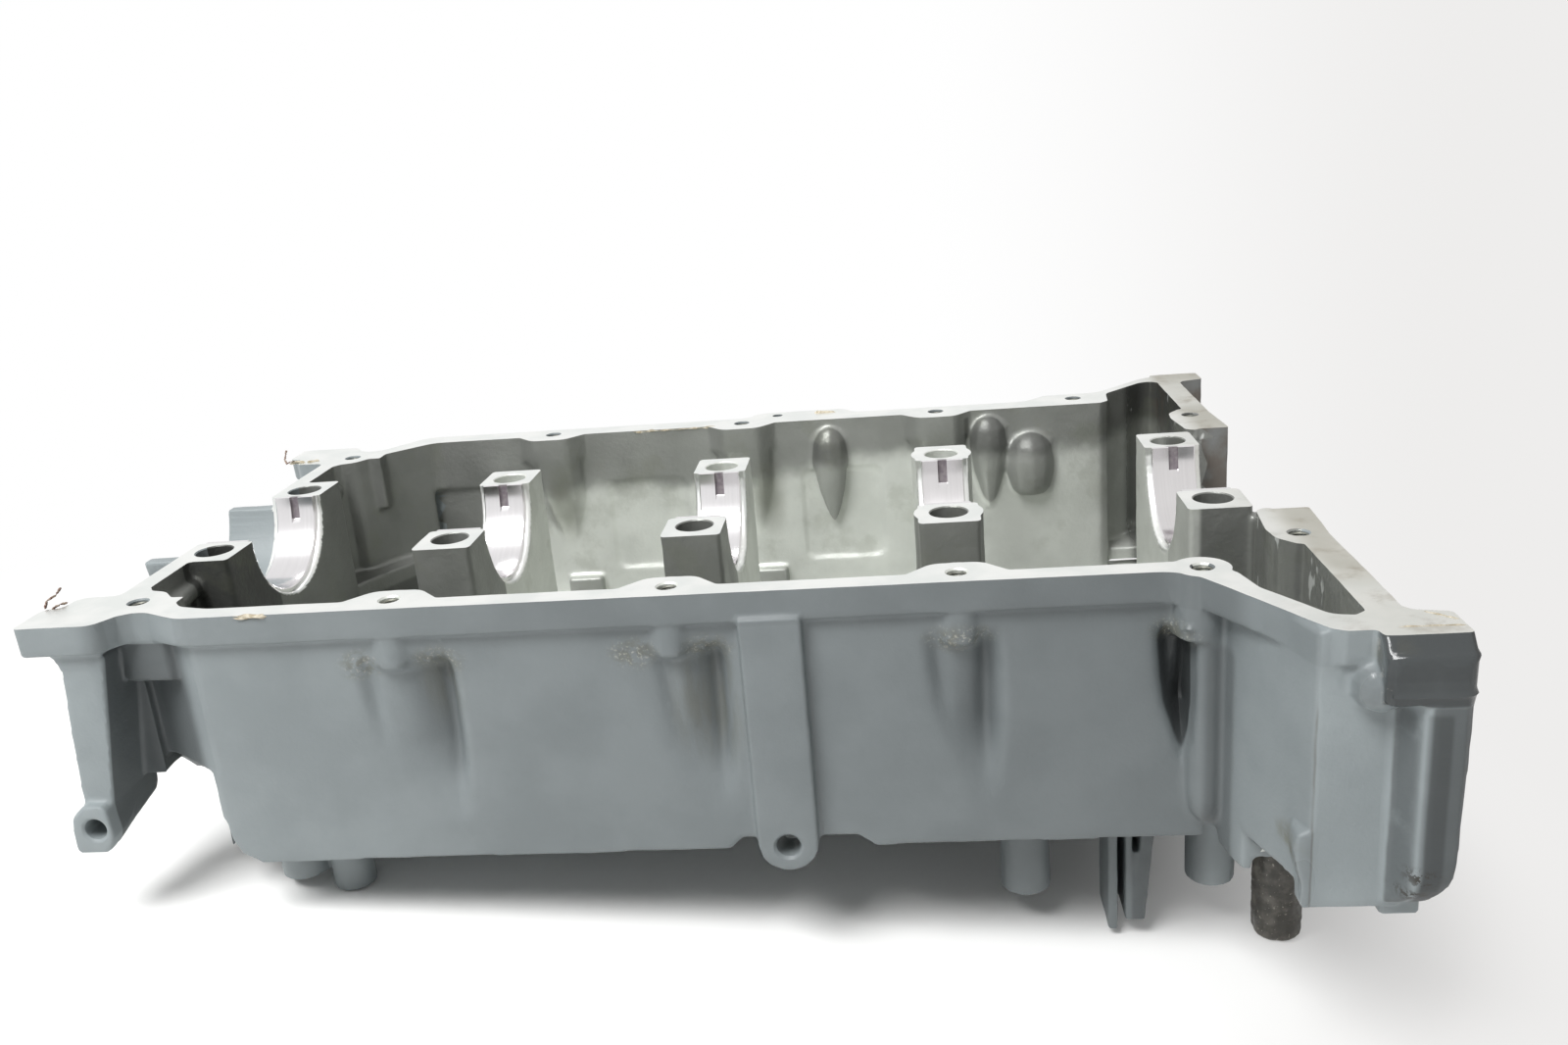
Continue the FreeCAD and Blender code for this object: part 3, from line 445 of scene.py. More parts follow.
def shell_surface(number, x):
    """Half-round shell: a section across its width is carried round half a turn.

    Angle a goes from the near parting edge under the crank to the far one. The section
    runs along the running face, over a small chamfer and back along the outer face. Near
    the far edge the running face drops into the slot of the locating tang: the drop is
    full from the parting edge down to 9.6 mm below it and runs out over 2 mm more."""
    half = HALF_SHELL
    chamfer = 0.5
    slot = 1.85
    across = [chamfer - half, -slot - 0.15, -slot, slot, slot + 0.15, half - chamfer,
              half, half, -half, -half]
    radius = [RUNNING] * 6 + [RUNNING + chamfer, HOUSING, HOUSING, RUNNING + chamfer]
    a = np.concatenate([np.linspace(np.pi, 2 * np.pi - 0.45, 90),
                        np.linspace(2 * np.pi - 0.43, 2 * np.pi, 44)])
    rows, columns = len(a), len(across)
    r = np.tile(np.array(radius), (rows, 1))
    below = -RUNNING * np.sin(a)
    r[:, 2:4] += 1.35 * (1 - np.clip((below - 9.6) / 2.0, 0, 1))[:, None] * (np.cos(a) > 0)[:, None]
    px = x + np.tile(np.array(across), (rows, 1))
    pts = np.stack([px, r * np.cos(a)[:, None], r * np.sin(a)[:, None]], 2).reshape(-1, 3)
    faces = grid_faces(rows, columns, close_columns=True).tolist()
    faces.append(list(range(columns))[::-1])
    faces.append([(rows - 1) * columns + k for k in range(columns)])
    piece = mesh_object("bearing_shell_%d" % number, pts, faces)
    outwards(piece)
    smooth_faces(piece, 25)
    faces = np.arange(len(piece.data.polygons))
    in_slot = (faces % columns == 2) & (faces // columns >= 88) & (faces < (rows - 1) * columns)
    turned = a[np.minimum(faces // columns, rows - 1)]
    deep = in_slot & (-RUNNING * np.sin(turned) < 9.7)
    piece.data.polygons.foreach_set("material_index", deep.astype(np.int32))
    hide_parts("main_bearing_shell_%d" % number)
    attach(piece, "root")
    return piece


def hose_surface():
    """Cut piece of hose: outer wall with lengthwise wrinkles and two slack rolls, rounded
    foot, and the bore it is pushed on with."""
    x, y = HOSE_PLACE
    length = HOSE_TOP - HOSE_FOOT
    sides = 72
    a = np.linspace(0, 2 * np.pi, sides, endpoint=False)
    drop = np.concatenate([np.linspace(0, 2.2, 7), np.linspace(3.2, length, 56)])
    edge = np.sqrt(np.clip(1 - (1 - np.clip(drop / 2.2, 0, 1)) ** 2, 0, 1))
    body_radius = 9.35 - 2.0 * (1 - edge)
    roll = 0.30 * np.exp(-((drop - 9) / 3.2) ** 2) + 0.22 * np.exp(-((drop - 47) / 5.0) ** 2)
    grid_a, grid_d = np.meshgrid(a, drop)
    place = np.stack([9 * np.cos(grid_a), 9 * np.sin(grid_a), 0.22 * grid_d], 2).reshape(-1, 3)
    fold = waves(place, 6.5, 5.3).reshape(grid_a.shape)
    fine = waves(place * np.array([1, 1, 3.0]), 2.6, 1.9).reshape(grid_a.shape)
    outer = body_radius[:, None] - 0.45 + roll[:, None] * 0.5 + 0.34 * fold * edge[:, None] + 0.10 * fine
    outer = np.minimum(outer, HOSE_RADIUS)
    inner = np.full((12, sides), HOSE_BORE)
    r = np.concatenate([outer, inner])
    h = np.concatenate([drop, np.linspace(length, 0, 12)])
    rows = len(h)
    level = np.tile((HOSE_FOOT + h)[:, None], (1, sides))
    pts = np.stack([x + r * np.cos(a), y + r * np.sin(a), level], 2)
    piece = mesh_object("hose_piece", pts.reshape(-1, 3), grid_faces(rows, sides, True, True))
    outwards(piece)
    smooth_faces(piece, 50)
    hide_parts("drain_hose_stub")
    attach(piece, "root")
    return piece


def thread_ridges():
    """Helical ridge of each tapped hole in the flange.

    Turn t of the helix lies t * pitch below the mouth; a three-cornered section rides on it
    with its crest towards the hole's axis."""
    pitch, turns, steps = 1.25, 12, 26
    t = np.linspace(0, turns, turns * steps)
    crest = np.array([(3.62, 0.52), (3.04, 0.0), (3.62, -0.52)]) * np.array([1, pitch])
    pieces = []
    for x, y in NEAR_BOLTS + FAR_BOLTS + END_BOLTS:
        a = 2 * np.pi * t[:, None]
        r = crest[:, 0][None, :]
        pts = np.stack([x + r * np.cos(a), y + r * np.sin(a),
                        -1.3 - pitch * t[:, None] + crest[:, 1][None, :] + 0 * r], 2)
        faces = grid_faces(len(t), 3, close_columns=True).tolist()
        faces += [[0, 1, 2], [3 * len(t) - 1, 3 * len(t) - 2, 3 * len(t) - 3]]
        ridge = mesh_object("ridge", pts.reshape(-1, 3), faces)
        outwards(ridge)
        pieces.append(ridge)
    whole = joined("flange_threads", pieces)
    smooth_faces(whole, 40)
    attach(whole, "root")
    return whole


def sealant_remains():
    """Dried sealant: a strip in the damaged flange edge, crumbs along the flange and ridges
    on the right end."""
    runs = [
        (((-154.0, -120.6, -0.5), (-141.0, -120.8, -0.6)), 0.75, 0.5),
        (((-232.0, 97.5, 0.0), (-224.0, 98.6, 0.1)), 0.7, 0.8),
        (((-223.0, 98.8, 0.0), (-217.0, 100.2, 0.1)), 0.5, 0.8),
        (((37.0, 140.4, -0.1), (48.5, 139.4, -0.1)), 0.8, 0.4),
        (((-60.0, 124.2, -0.5), (-8.0, 124.2, -0.6)), 0.45, 0.7),
        (((-6.0, 115.4, -0.6), (7.0, 115.2, -0.6)), 0.5, 0.6),
        (((233.0, -164.0, -0.1), (240.4, -171.0, -0.1)), 0.35, 0.6),
        (((222.0, -174.6, -0.1), (240.6, -175.2, -0.1)), 0.32, 0.6),
    ]
    pieces = [ragged_rod("bead", ends, radius, rough, 1.3 + k, 8, 0.6)
              for k, (ends, radius, rough) in enumerate(runs)]
    whole = joined("sealant_remains", pieces)
    smooth_faces(whole, 60)
    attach(whole, "root")
    return whole


def loose_hairs():
    """Two torn threads of old gasket that stand up from the left corners of the flange."""
    runs = [
        ((-235.0, -104.0, 0.0), (-235.6, -101.0, 2.2), (-233.4, -98.0, 3.4), (-234.6, -93.0, 4.4)),
        ((-232.0, -104.5, 0.0), (-230.0, -102.0, 0.9), (-229.0, -99.0, 0.4)),
        ((-232.8, 97.0, 0.0), (-235.0, 99.5, 1.6), (-236.4, 104.0, 3.2), (-238.0, 109.0, 4.4)),
        ((-233.4, 96.6, 0.0), (-231.0, 97.4, 1.2), (-229.4, 98.8, 0.8)),
    ]
    pieces = []
    for run in runs:
        for start, finish in zip(run, run[1:]):
            pieces.append(ragged_rod("hair", (start, finish), 0.42, 0.5, 2.7 * len(pieces), 6, 0.5))
    whole = joined("loose_hairs", pieces)
    smooth_faces(whole, 60)
    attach(whole, "root")
    return whole


shells = [shell_surface(i + 1, x) for i, x in enumerate(WEBS)]
hose = hose_surface()
threads = thread_ridges()
sealant = sealant_remains()
hairs = loose_hairs()
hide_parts("crankcase_casting")
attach(body, "root")


# ------------------------------------------------------------ materials

def linear(r, g, b):
    """Scene-linear colour of an sRGB colour given in 0 to 255."""
    v = np.array([r, g, b]) / 255.0
    v = np.where(v <= 0.04045, v / 12.92, ((v + 0.055) / 1.055) ** 2.4)
    return (float(v[0]), float(v[1]), float(v[2]), 1.0)


class Finish:
    """One material, with short ways to join the nodes of its pattern.

    x, y and z are the place in millimetres on the piece."""

    def __init__(self, name):
        self.material = bpy.data.materials.new(name)
        self.material.use_nodes = True
        self.tree = self.material.node_tree
        self.shader = self.tree.nodes["Principled BSDF"]
        coords = self.tree.nodes.new("ShaderNodeTexCoord").outputs["Object"]
        scaled = self.tree.nodes.new("ShaderNodeVectorMath")
        scaled.operation = "SCALE"
        scaled.inputs["Scale"].default_value = 1 / MM
        self.tree.links.new(coords, scaled.inputs[0])
        self.place = scaled.outputs[0]
        parts = self.tree.nodes.new("ShaderNodeSeparateXYZ")
        self.tree.links.new(self.place, parts.inputs[0])
        self.x, self.y, self.z = parts.outputs

    def give(self, value, socket):
        """A constant is set on the socket, anything else is linked to it."""
        if isinstance(value, (int, float, tuple)):
            socket.default_value = value
        else:
            self.tree.links.new(value, socket)

    def math(self, operation, a, b=0.0):
        """One sum on two values."""
        node = self.tree.nodes.new("ShaderNodeMath")
        node.operation = operation
        self.give(a, node.inputs[0])
        self.give(b, node.inputs[1])
        return node.outputs[0]

    def times(self, *factors):
        """The product of all factors."""
        total = factors[0]
        for factor in factors[1:]:
            total = self.math("MULTIPLY", total, factor)
        return total

    def most(self, *values):
        """The greatest of all values."""
        total = values[0]
        for value in values[1:]:
            total = self.math("MAXIMUM", total, value)
        return total

    def step(self, value, low, high, least=0.0, most=1.0):
        """Soft step from least at low to most at high; low may be the greater."""
        node = self.tree.nodes.new("ShaderNodeMapRange")
        node.interpolation_type = "SMOOTHSTEP"
        self.give(value, node.inputs["Value"])
        node.inputs["From Min"].default_value = low
        node.inputs["From Max"].default_value = high
        node.inputs["To Min"].default_value = least
        node.inputs["To Max"].default_value = most
        return node.outputs[0]

    def between(self, value, low, high, soft):
        """1 between low and high with soft ends."""
        return self.times(self.step(value, low - soft, low + soft),
                          self.step(value, high + soft, high - soft))

    def moved(self, centre, stretch):
        """The place seen from a centre, each way divided by its own stretch."""
        node = self.tree.nodes.new("ShaderNodeMapping")
        node.inputs["Scale"].default_value = tuple(1.0 / v for v in stretch)
        node.inputs["Location"].default_value = tuple(-c / v for c, v in zip(centre, stretch))
        self.give(self.place, node.inputs["Vector"])
        return node.outputs[0]

    def spot(self, centre, stretch, inner=0.2):
        """1 at a centre, fading to 0 at one stretch away."""
        length = self.tree.nodes.new("ShaderNodeVectorMath")
        length.operation = "LENGTH"
        self.give(self.moved(centre, stretch), length.inputs[0])
        return self.step(length.outputs["Value"], 1.0, inner)

    def noise(self, size, detail=4.0, rough=0.55, stretch=(1, 1, 1), shift=0.0):
        """Noise whose blobs are about this many millimetres wide."""
        node = self.tree.nodes.new("ShaderNodeTexNoise")
        node.inputs["Scale"].default_value = 1.0
        node.inputs["Detail"].default_value = detail
        node.inputs["Roughness"].default_value = rough
        self.give(self.moved((shift, 0, 0), tuple(size * v for v in stretch)), node.inputs["Vector"])
        return node.outputs["Fac"]

    def mixed(self, first, second, share):
        """The first colour with this share of the second."""
        node = self.tree.nodes.new("ShaderNodeMix")
        node.data_type = "RGBA"
        self.give(share, node.inputs[0])
        self.give(first, node.inputs[6])
        self.give(second, node.inputs[7])
        return node.outputs[2]

    def scaled(self, colour, factor):
        """The colour times a factor."""
        node = self.tree.nodes.new("ShaderNodeVectorMath")
        node.operation = "SCALE"
        self.give(colour, node.inputs[0])
        self.give(factor, node.inputs["Scale"])
        return node.outputs[0]

    def bump(self, height, strength, distance):
        """Fine relief this many millimetres high."""
        node = self.tree.nodes.new("ShaderNodeBump")
        node.inputs["Strength"].default_value = strength
        node.inputs["Distance"].default_value = distance * MM
        self.give(height, node.inputs["Height"])
        self.give(node.outputs["Normal"], self.shader.inputs["Normal"])

    def finish(self, colour, metallic, roughness, specular=0.5):
        """Sets the surface and returns the material."""
        self.give(colour, self.shader.inputs["Base Color"])
        self.give(metallic, self.shader.inputs["Metallic"])
        self.give(roughness, self.shader.inputs["Roughness"])
        self.give(specular, self.shader.inputs["Specular IOR Level"])
        return self.material


def painted_skin():
    """Outer skin: blue-grey paint with painted shade in the hollows, on the flange's side face,
    beside the right column, on the right end face and on the ridge by the right post, a painted
    shadow on the left end plate and painted highlight streaks on the head; darker on the right
    post, with oily residue beside the bolts, chips low on the right post and brown dirt on the
    far right end."""
    f = Finish("painted_skin")
    colour = f.mixed(linear(140, 148, 150), linear(149, 157, 159), f.step(f.noise(42.0), 0.35, 0.65))
    tone = f.times(f.step(f.x, -190.0, -20.0, 0.76, 0.575), f.step(f.x, 20.0, 160.0, 1.0, 0.8),
                   f.step(f.x, 184.0, 190.0, 1.0, 1.48), f.step(f.x, 200.8, 202.0, 1.0, 1.24),
                   f.step(f.x, -208.0, -213.0, 1.0, 1.12))
    # Painted shade: the flange's side face is darker than the wall below it.
    flange_band_shade = f.times(f.step(f.z, -12.6, -11.2), f.step(f.y, -119.2, -120.4))
    tone = f.times(tone, f.step(flange_band_shade, 0.0, 1.0, 1.0, 0.91))
    # Painted shade: the hollows of the near wall are darker.
    wall_run = f.times(f.between(f.x, -125.0, 178.0, 1.0), f.between(f.z, -90.0, -24.0, 4.0))
    hollow = f.times(wall_run, f.step(f.y, -117.6, -109.0), f.step(f.y, -100.0, -103.0))
    tone = f.times(tone, f.step(hollow, 0.0, 1.0, 1.0, 0.7))
    # Painted shade in the deep narrow hollow under the right flange bolt.
    deep = f.times(f.between(f.y, -116.4, -100.0, 1.0), f.between(f.x, 160.0, 178.0, 1.0))
    # Painted shadow beside the right bolt column.
    valley = f.times(f.between(f.y, -133.0, -121.0, 2.5), f.between(f.x, 180.0, 192.0, 2.0),
                     f.step(f.z, -22.0, -28.0))
    outer = f.step(f.y, -174.4, -175.6)
    strip = f.times(outer, f.between(f.x, 220.5, 227.0, 1.4), f.step(f.z, -20.0, -26.0),
                    f.step(f.noise(12.0, shift=30.0), 0.25, 0.55, 0.6, 1.0))
    shaft = f.times(outer, f.step(f.x, 228.0, 230.0), f.step(f.z, -19.0, -21.0))
    head = f.times(f.step(f.x, 215.4, 216.8), f.step(f.y, -174.2, -175.0),
                   f.step(f.z, -21.0, -19.0))
    # Painted shade on the right end face.
    end = f.times(f.step(f.x, 239.0, 240.6), f.step(f.y, -150.0, -160.0))
    # Painted shadow on the left end plate, which lies in the shade of the leg and flange.
    left_plate_shadow = f.times(f.step(f.x, -217.4, -216.6), f.step(f.x, -176.0, -188.0),
                        f.step(f.y, -55.0, -62.0), f.step(f.y, -120.4, -119.2),
                        f.step(f.z, -11.6, -13.0))
    # Painted shade that dims the lit ridge between the right strip and shaft.
    groin_shade = f.times(outer, f.between(f.x, 228.0, 234.5, 1.0), f.step(f.z, -21.0, -24.0))
    dome = f.spot((212.0, -182.0, -15.0), (12.0, 12.0, 12.0))
    for place, least in ((groin_shade, 0.6), (dome, 0.6), (deep, 0.28), (valley, 0.66), (strip, 0.44),
                         (shaft, 0.36), (head, 0.2), (end, 0.5), (left_plate_shadow, 0.42)):
        tone = f.times(tone, f.step(place, 0.0, 1.0, 1.0, least))
    colour = f.scaled(colour, tone)
    beside_bolts = ((-112.0, 11.0), (-84.0, 13.0), (-13.0, 12.0), (13.0, 12.0), (174.0, 14.0),
                    (100.0, 16.0))
    residue = f.most(*[f.spot((x, -NEAR_WALL, -22.0), (wide, 12.0, 8.0))
                       for x, wide in beside_bolts])
    patchy = f.times(residue, f.step(f.noise(3.2, 5.0, 0.6), 0.42, 0.58))
    colour = f.mixed(colour, linear(96, 96, 84), f.math("MULTIPLY", patchy, 0.6))
    crumbs = f.times(residue, f.step(f.noise(1.1, 3.0, 0.6, shift=9.0), 0.56, 0.64))
    colour = f.mixed(colour, linear(176, 174, 164), f.math("MULTIPLY", crumbs, 0.55))
    drips = f.times(f.most(f.spot((12.0, -114.0, -42.0), (20.0, 14.0, 34.0)),
                           f.spot((-84.0, -114.0, -32.0), (12.0, 12.0, 22.0))),
                    f.step(f.noise(6.0, 4.0, 0.6, (1, 1, 5)), 0.36, 0.66))
    colour = f.mixed(colour, linear(92, 92, 80), f.math("MULTIPLY", drips, 0.5))
    wander = f.math("ADD", f.x, f.math("MULTIPLY", f.noise(9.0, 3.0, shift=61.0), 0.7))
    seam = f.times(f.between(wander, 201.35, 201.75, 0.4), f.step(f.y, -171.0, -173.0),
                   f.step(f.z, -22.0, -30.0),
                   f.step(f.noise(14.0, 3.0, shift=50.0), 0.25, 0.5, 0.5, 1.0))
    colour = f.mixed(colour, linear(72, 66, 56), f.math("MULTIPLY", seam, 0.6))
    chips = f.times(f.most(f.spot((229.5, -186.0, -76.0), (7.0, 14.0, 5.0)),
                           f.spot((227.0, -186.0, -83.0), (9.0, 14.0, 3.5))),
                    f.step(f.noise(2.6, 4.0, 0.65, shift=12.0), 0.50, 0.53))
    colour = f.mixed(colour, linear(52, 50, 46), chips)
    stain = f.times(f.most(f.spot((196.0, -166.0, -74.0), (8.0, 12.0, 7.0)),
                           f.spot((222.0, -178.0, -6.0), (9.0, 8.0, 7.0))),
                    f.step(f.noise(6.0), 0.35, 0.6))
    colour = f.mixed(colour, linear(92, 88, 66), f.math("MULTIPLY", stain, 0.6))
    far_end = f.times(f.step(f.y, 40.0, 60.0), f.step(f.x, 196.0, 205.0),
                      f.step(f.noise(12.0, 4.0, shift=77.0), 0.3, 0.6, 0.55, 1.0))
    colour = f.mixed(colour, linear(90, 80, 70), f.math("MULTIPLY", far_end, 0.85))
    # Painted highlights: pale streaks along the head.
    head_highlight = f.times(head, f.step(f.noise(5.0, 4.0, 0.6, (4, 1, 1), 44.0), 0.62, 0.7))
    colour = f.mixed(colour, linear(182, 182, 176), f.math("MULTIPLY", head_highlight, 0.5))
    shiny = f.most(head, f.spot((217.0, -182.0, -17.5), (12.0, 12.0, 12.0)),
                   f.spot((199.0, -174.0, -84.0), (7.0, 8.0, 16.0)))
    roughness = f.step(shiny, 0.0, 1.0, 0.5, 0.16)
    f.bump(f.noise(1.5, 3.0), 0.25, 0.4)
    return f.finish(colour, 0.0, roughness, 0.45)


def raw_casting():
    """Inside of the chamber: bare cast metal with painted shade in the upper part towards the far
    flange, in the left bay, on the near bolt bosses and on the far bolt columns (with an oily
    tint there), darker in the right end pocket, which also has painted glints."""
    f = Finish("raw_casting")
    colour = f.mixed(linear(208, 211, 205), linear(220, 223, 217), f.step(f.noise(30.0), 0.35, 0.65))
    # Painted shade over the upper part of the far wall, its lower edge ragged.
    edge = f.math("ADD", f.z, f.math("MULTIPLY", f.noise(26.0, 3.0, shift=70.0), 18.0))
    edge = f.math("ADD", edge, f.step(f.x, -30.0, 70.0, 0.0, -9.0))
    far_wall_shade = f.times(f.step(edge, -30.0, -14.0), f.step(f.y, 60.0, 100.0))
    # Painted shade in the left bay.
    left = f.step(f.x, -124.0, -152.0)
    colour = f.scaled(colour, f.step(f.most(far_wall_shade, left), 0.0, 1.0, 1.0, 0.42))
    # Painted shade on the fronts of the near bolt bosses and of the right boss.
    near_block_shade = f.times(f.between(f.y, -62.0, -20.0, 1.0), f.step(f.z, -80.0, -40.0),
                    f.most(f.step(f.x, 190.0, 186.0), f.step(f.x, 191.0, 194.0)))
    colour = f.scaled(colour, f.step(near_block_shade, 0.0, 1.0, 1.0, 0.34))
    pocket = f.times(f.step(f.x, 196.0, 204.0), f.step(near_block_shade, 1.0, 0.0))
    colour = f.scaled(colour, f.step(pocket, 0.0, 1.0, 1.0, 0.4))
    # More painted shade in the left bay.
    colour = f.scaled(colour, f.step(left, 0.0, 1.0, 1.0, 0.76))
    ledges = f.times(f.step(f.z, -64.0, -67.0), f.between(f.y, 66.0, 122.0, 1.0))
    colour = f.scaled(colour, f.step(ledges, 0.0, 1.0, 1.0, 0.55))
    # Painted shade on the far bolt columns, with an oily tint.
    columns = f.most(f.spot((-97.0, 118.0, -38.0), (12.0, 16.0, 30.0)),
                     f.spot((12.0, 118.0, -40.0), (12.0, 16.0, 30.0)))
    colour = f.mixed(colour, linear(104, 106, 92), f.math("MULTIPLY", columns, 0.6))
    proud = f.times(f.between(f.y, 106.0, 122.4, 0.7), f.between(f.z, -60.0, -3.0, 1.0),
                    f.most(f.between(f.x, 33.0, 57.0, 1.0), f.between(f.x, 114.0, 161.0, 1.0)))
    colour = f.scaled(colour, f.step(proud, 0.0, 1.0, 1.0, 0.55))
    colour = f.scaled(colour, f.step(f.x, 90.0, 150.0, 1.0, 0.86))
    oil = f.times(f.step(f.noise(22.0, 5.0, 0.6, shift=20.0), 0.52, 0.66), f.step(f.z, -88.0, -70.0))
    colour = f.mixed(colour, linear(120, 124, 104), f.math("MULTIPLY", oil, 0.18))
    rust = f.times(f.spot((235.0, 150.0, -10.0), (26.0, 40.0, 26.0)), f.step(f.noise(9.0, 4.0), 0.4, 0.6))
    colour = f.mixed(colour, linear(120, 92, 70), f.math("MULTIPLY", rust, 0.6))
    f.bump(f.noise(2.0, 4.0), 0.4, 0.5)
    # Painted highlights: pale glints in the right end pocket.
    painted_glints = f.times(pocket, f.step(f.noise(8.0, 3.0, 0.5, (1, 1, 2), 90.0), 0.62, 0.67))
    colour = f.mixed(colour, linear(226, 229, 226), f.math("MULTIPLY", painted_glints, 0.8))
    rough = f.times(f.step(f.noise(16.0, 3.0, shift=5.0), 0.3, 0.7, 0.36, 0.5),
                    f.step(pocket, 0.0, 1.0, 1.0, 0.5))
    return f.finish(colour, 0.45, rough)


def machined_face():
    """Parting face and bores: bright milled metal, stained beige and brown at the right end."""
    f = Finish("machined_face")
    colour = f.mixed(linear(232, 235, 232), linear(243, 244, 241), f.step(f.noise(18.0), 0.35, 0.65))
    place = f.step(f.x, 190.0, 226.0)
    far_side = f.times(f.step(f.x, 205.0, 222.0), f.step(f.y, -170.0, -120.0))
    stain = f.times(f.most(f.times(place, 0.55), far_side),
                    f.step(f.noise(40.0, 5.0, 0.5), 0.25, 0.6, 0.6, 1.0))
    colour = f.mixed(colour, linear(154, 151, 140), f.math("MULTIPLY", stain, 0.85))
    dark = f.times(place, f.step(f.noise(13.0, 5.0, 0.6, shift=33.0), 0.5, 0.72))
    colour = f.mixed(colour, linear(134, 126, 110), f.math("MULTIPLY", dark, 0.55))
    metal = f.step(f.most(stain, dark), 0.0, 1.0, 1.0, 0.35)
    f.bump(f.noise(0.7, 2.0, 0.5, (1, 14, 1)), 0.05, 0.1)
    return f.finish(colour, metal, f.step(stain, 0.0, 1.0, 0.32, 0.6))


def bearing_finish():
    """Running faces: nearly a mirror, with fine scratches round the crank."""
    f = Finish("bearing_finish")
    line = f.noise(0.9, 2.0, 0.5, (1, 90, 90))
    colour = f.mixed(linear(225, 223, 224), linear(228, 226, 227), f.step(line, 0.35, 0.65))
    return f.finish(colour, 1.0, f.step(f.noise(20.0), 0.35, 0.65, 0.15, 0.19))


def tang_slot_shade():
    """Darker steel in the slot of the locating tang: painted shade."""
    f = Finish("tang_slot_shade")
    colour = f.mixed(linear(112, 104, 110), linear(132, 126, 128), f.step(f.noise(2.0), 0.35, 0.65))
    return f.finish(colour, 0.2, 0.5)


def hose_rubber():
    """Old rubber: nearly black, dusty, with pale specks."""
    f = Finish("hose_rubber")
    colour = f.mixed(linear(60, 58, 53), linear(96, 93, 86), f.step(f.noise(6.0, 5.0, 0.6), 0.4, 0.7))
    specks = f.step(f.noise(1.3, 2.0, 0.5, shift=3.0), 0.66, 0.70)
    colour = f.mixed(colour, linear(150, 146, 136), f.math("MULTIPLY", specks, 0.8))
    f.bump(f.noise(0.8, 3.0), 0.3, 0.3)
    return f.finish(colour, 0.0, f.step(f.noise(4.0, 3.0, shift=8.0), 0.3, 0.7, 0.3, 0.6))


def sealant_paste():
    """Dried sealant, beige with brown edges."""
    f = Finish("sealant_paste")
    colour = f.mixed(linear(196, 188, 170), linear(158, 146, 122), f.step(f.noise(1.6), 0.4, 0.65))
    return f.finish(colour, 0.0, 0.7)


def rusty_thread():
    """Stained fibre of the old gasket."""
    f = Finish("rusty_thread")
    colour = f.mixed(linear(150, 134, 120), linear(96, 62, 52), f.step(f.noise(1.2), 0.4, 0.6))
    return f.finish(colour, 0.0, 0.8)


def thread_metal():
    """Oily thread flanks in the shade of their holes."""
    f = Finish("thread_metal")
    colour = f.mixed(linear(92, 94, 88), linear(120, 120, 110), f.step(f.noise(2.0), 0.35, 0.65))
    return f.finish(colour, 0.3, 0.5)


PAINT = painted_skin()
RAW = raw_casting()
MACHINED = machined_face()
BEARING = bearing_finish()
TANG_SLOT_SHADE = tang_slot_shade()
for piece, material in [(shell, BEARING) for shell in shells] + [
        (hose, hose_rubber()), (threads, thread_metal()), (sealant, sealant_paste()),
        (hairs, rusty_thread())]:
    places = np.zeros(len(piece.data.polygons), np.int32)
    piece.data.polygons.foreach_get("material_index", places)
    piece.data.materials.clear()
    piece.data.materials.append(material)
    if piece in shells:
        piece.data.materials.append(TANG_SLOT_SHADE)
    piece.data.polygons.foreach_set("material_index", places)


def inside_outline(x, y, outline):
    """Whether points lie inside a closed outline: an odd number of its edges lies to the
    right of them."""
    inside = np.zeros(len(x), bool)
    for (x1, y1), (x2, y2) in zip(outline, outline[1:] + outline[:1]):
        crosses = (y1 > y) != (y2 > y)
        with np.errstate(divide="ignore", invalid="ignore"):
            at = x1 + (y - y1) * (x2 - x1) / (y2 - y1)
        inside ^= crosses & (x < at)
    return inside


# Outline of the chamber seen from above
CHAMBER = [(-206, -91), (-197, -94), (-182, -110.5), (-168, -115), (177, -115), (188, -123),
           (190, -140), (205, -166), (221, -168), (221, 168), (209, 168), (187, 148), (184, 128),
           (-164, 127), (-184, 114), (-196, 94), (-205, 90)]


def finish_casting():
    """Paint outside, bare metal in the chamber, milled metal on the parting face and bores."""
    mesh = body.data
    mesh.materials.clear()
    for m in (PAINT, RAW, MACHINED):
        mesh.materials.append(m)
    n = len(mesh.polygons)
    centre = np.empty(n * 3, np.float32)
    mesh.polygons.foreach_get("center", centre)
    centre = centre.reshape(-1, 3) / MM
    normal = np.empty(n * 3, np.float32)
    mesh.polygons.foreach_get("normal", normal)
    normal = normal.reshape(-1, 3)
    kind = np.zeros(n, np.int32)
    x, y, z = centre.T
    within = inside_outline(x, y, CHAMBER) & (z > -94)
    for hollow in NEAR_HOLLOWS:
        within &= ~((np.abs(x - hollow[0]) < 27) & (y < -115.5 + hollow_depth(x, z, hollow)))
    kind[within] = 1
    bore = np.hypot(y, z)
    toward = -(y * normal[:, 1] + z * normal[:, 2]) / np.maximum(bore, 1)
    kind[(bore < 34.7) & (bore > 32.5) & (toward > 0.4) & (x > -212.2)] = 2
    kind[(centre[:, 2] > -0.05) & (normal[:, 2] > 0.9)] = 2
    mesh.polygons.foreach_set("material_index", kind)
    mesh.update()


finish_casting()


# ------------------------------------------------------------ floor, light, camera

# Camera: place in millimetres, focal length and width of the picture in its own points, and
# the directions of its right, down and forward
EYE = (87.377875, -534.758207, 155.647267)
FOCAL, PICTURE_WIDTH, SENSOR = 1343.6368, 1600, 36.0
RIGHT = (0.993594, 0.079009, -0.080799)
DOWN = (-0.052732, -0.30823, -0.949849)
FORWARD = (-0.099951, 0.948025, -0.302089)

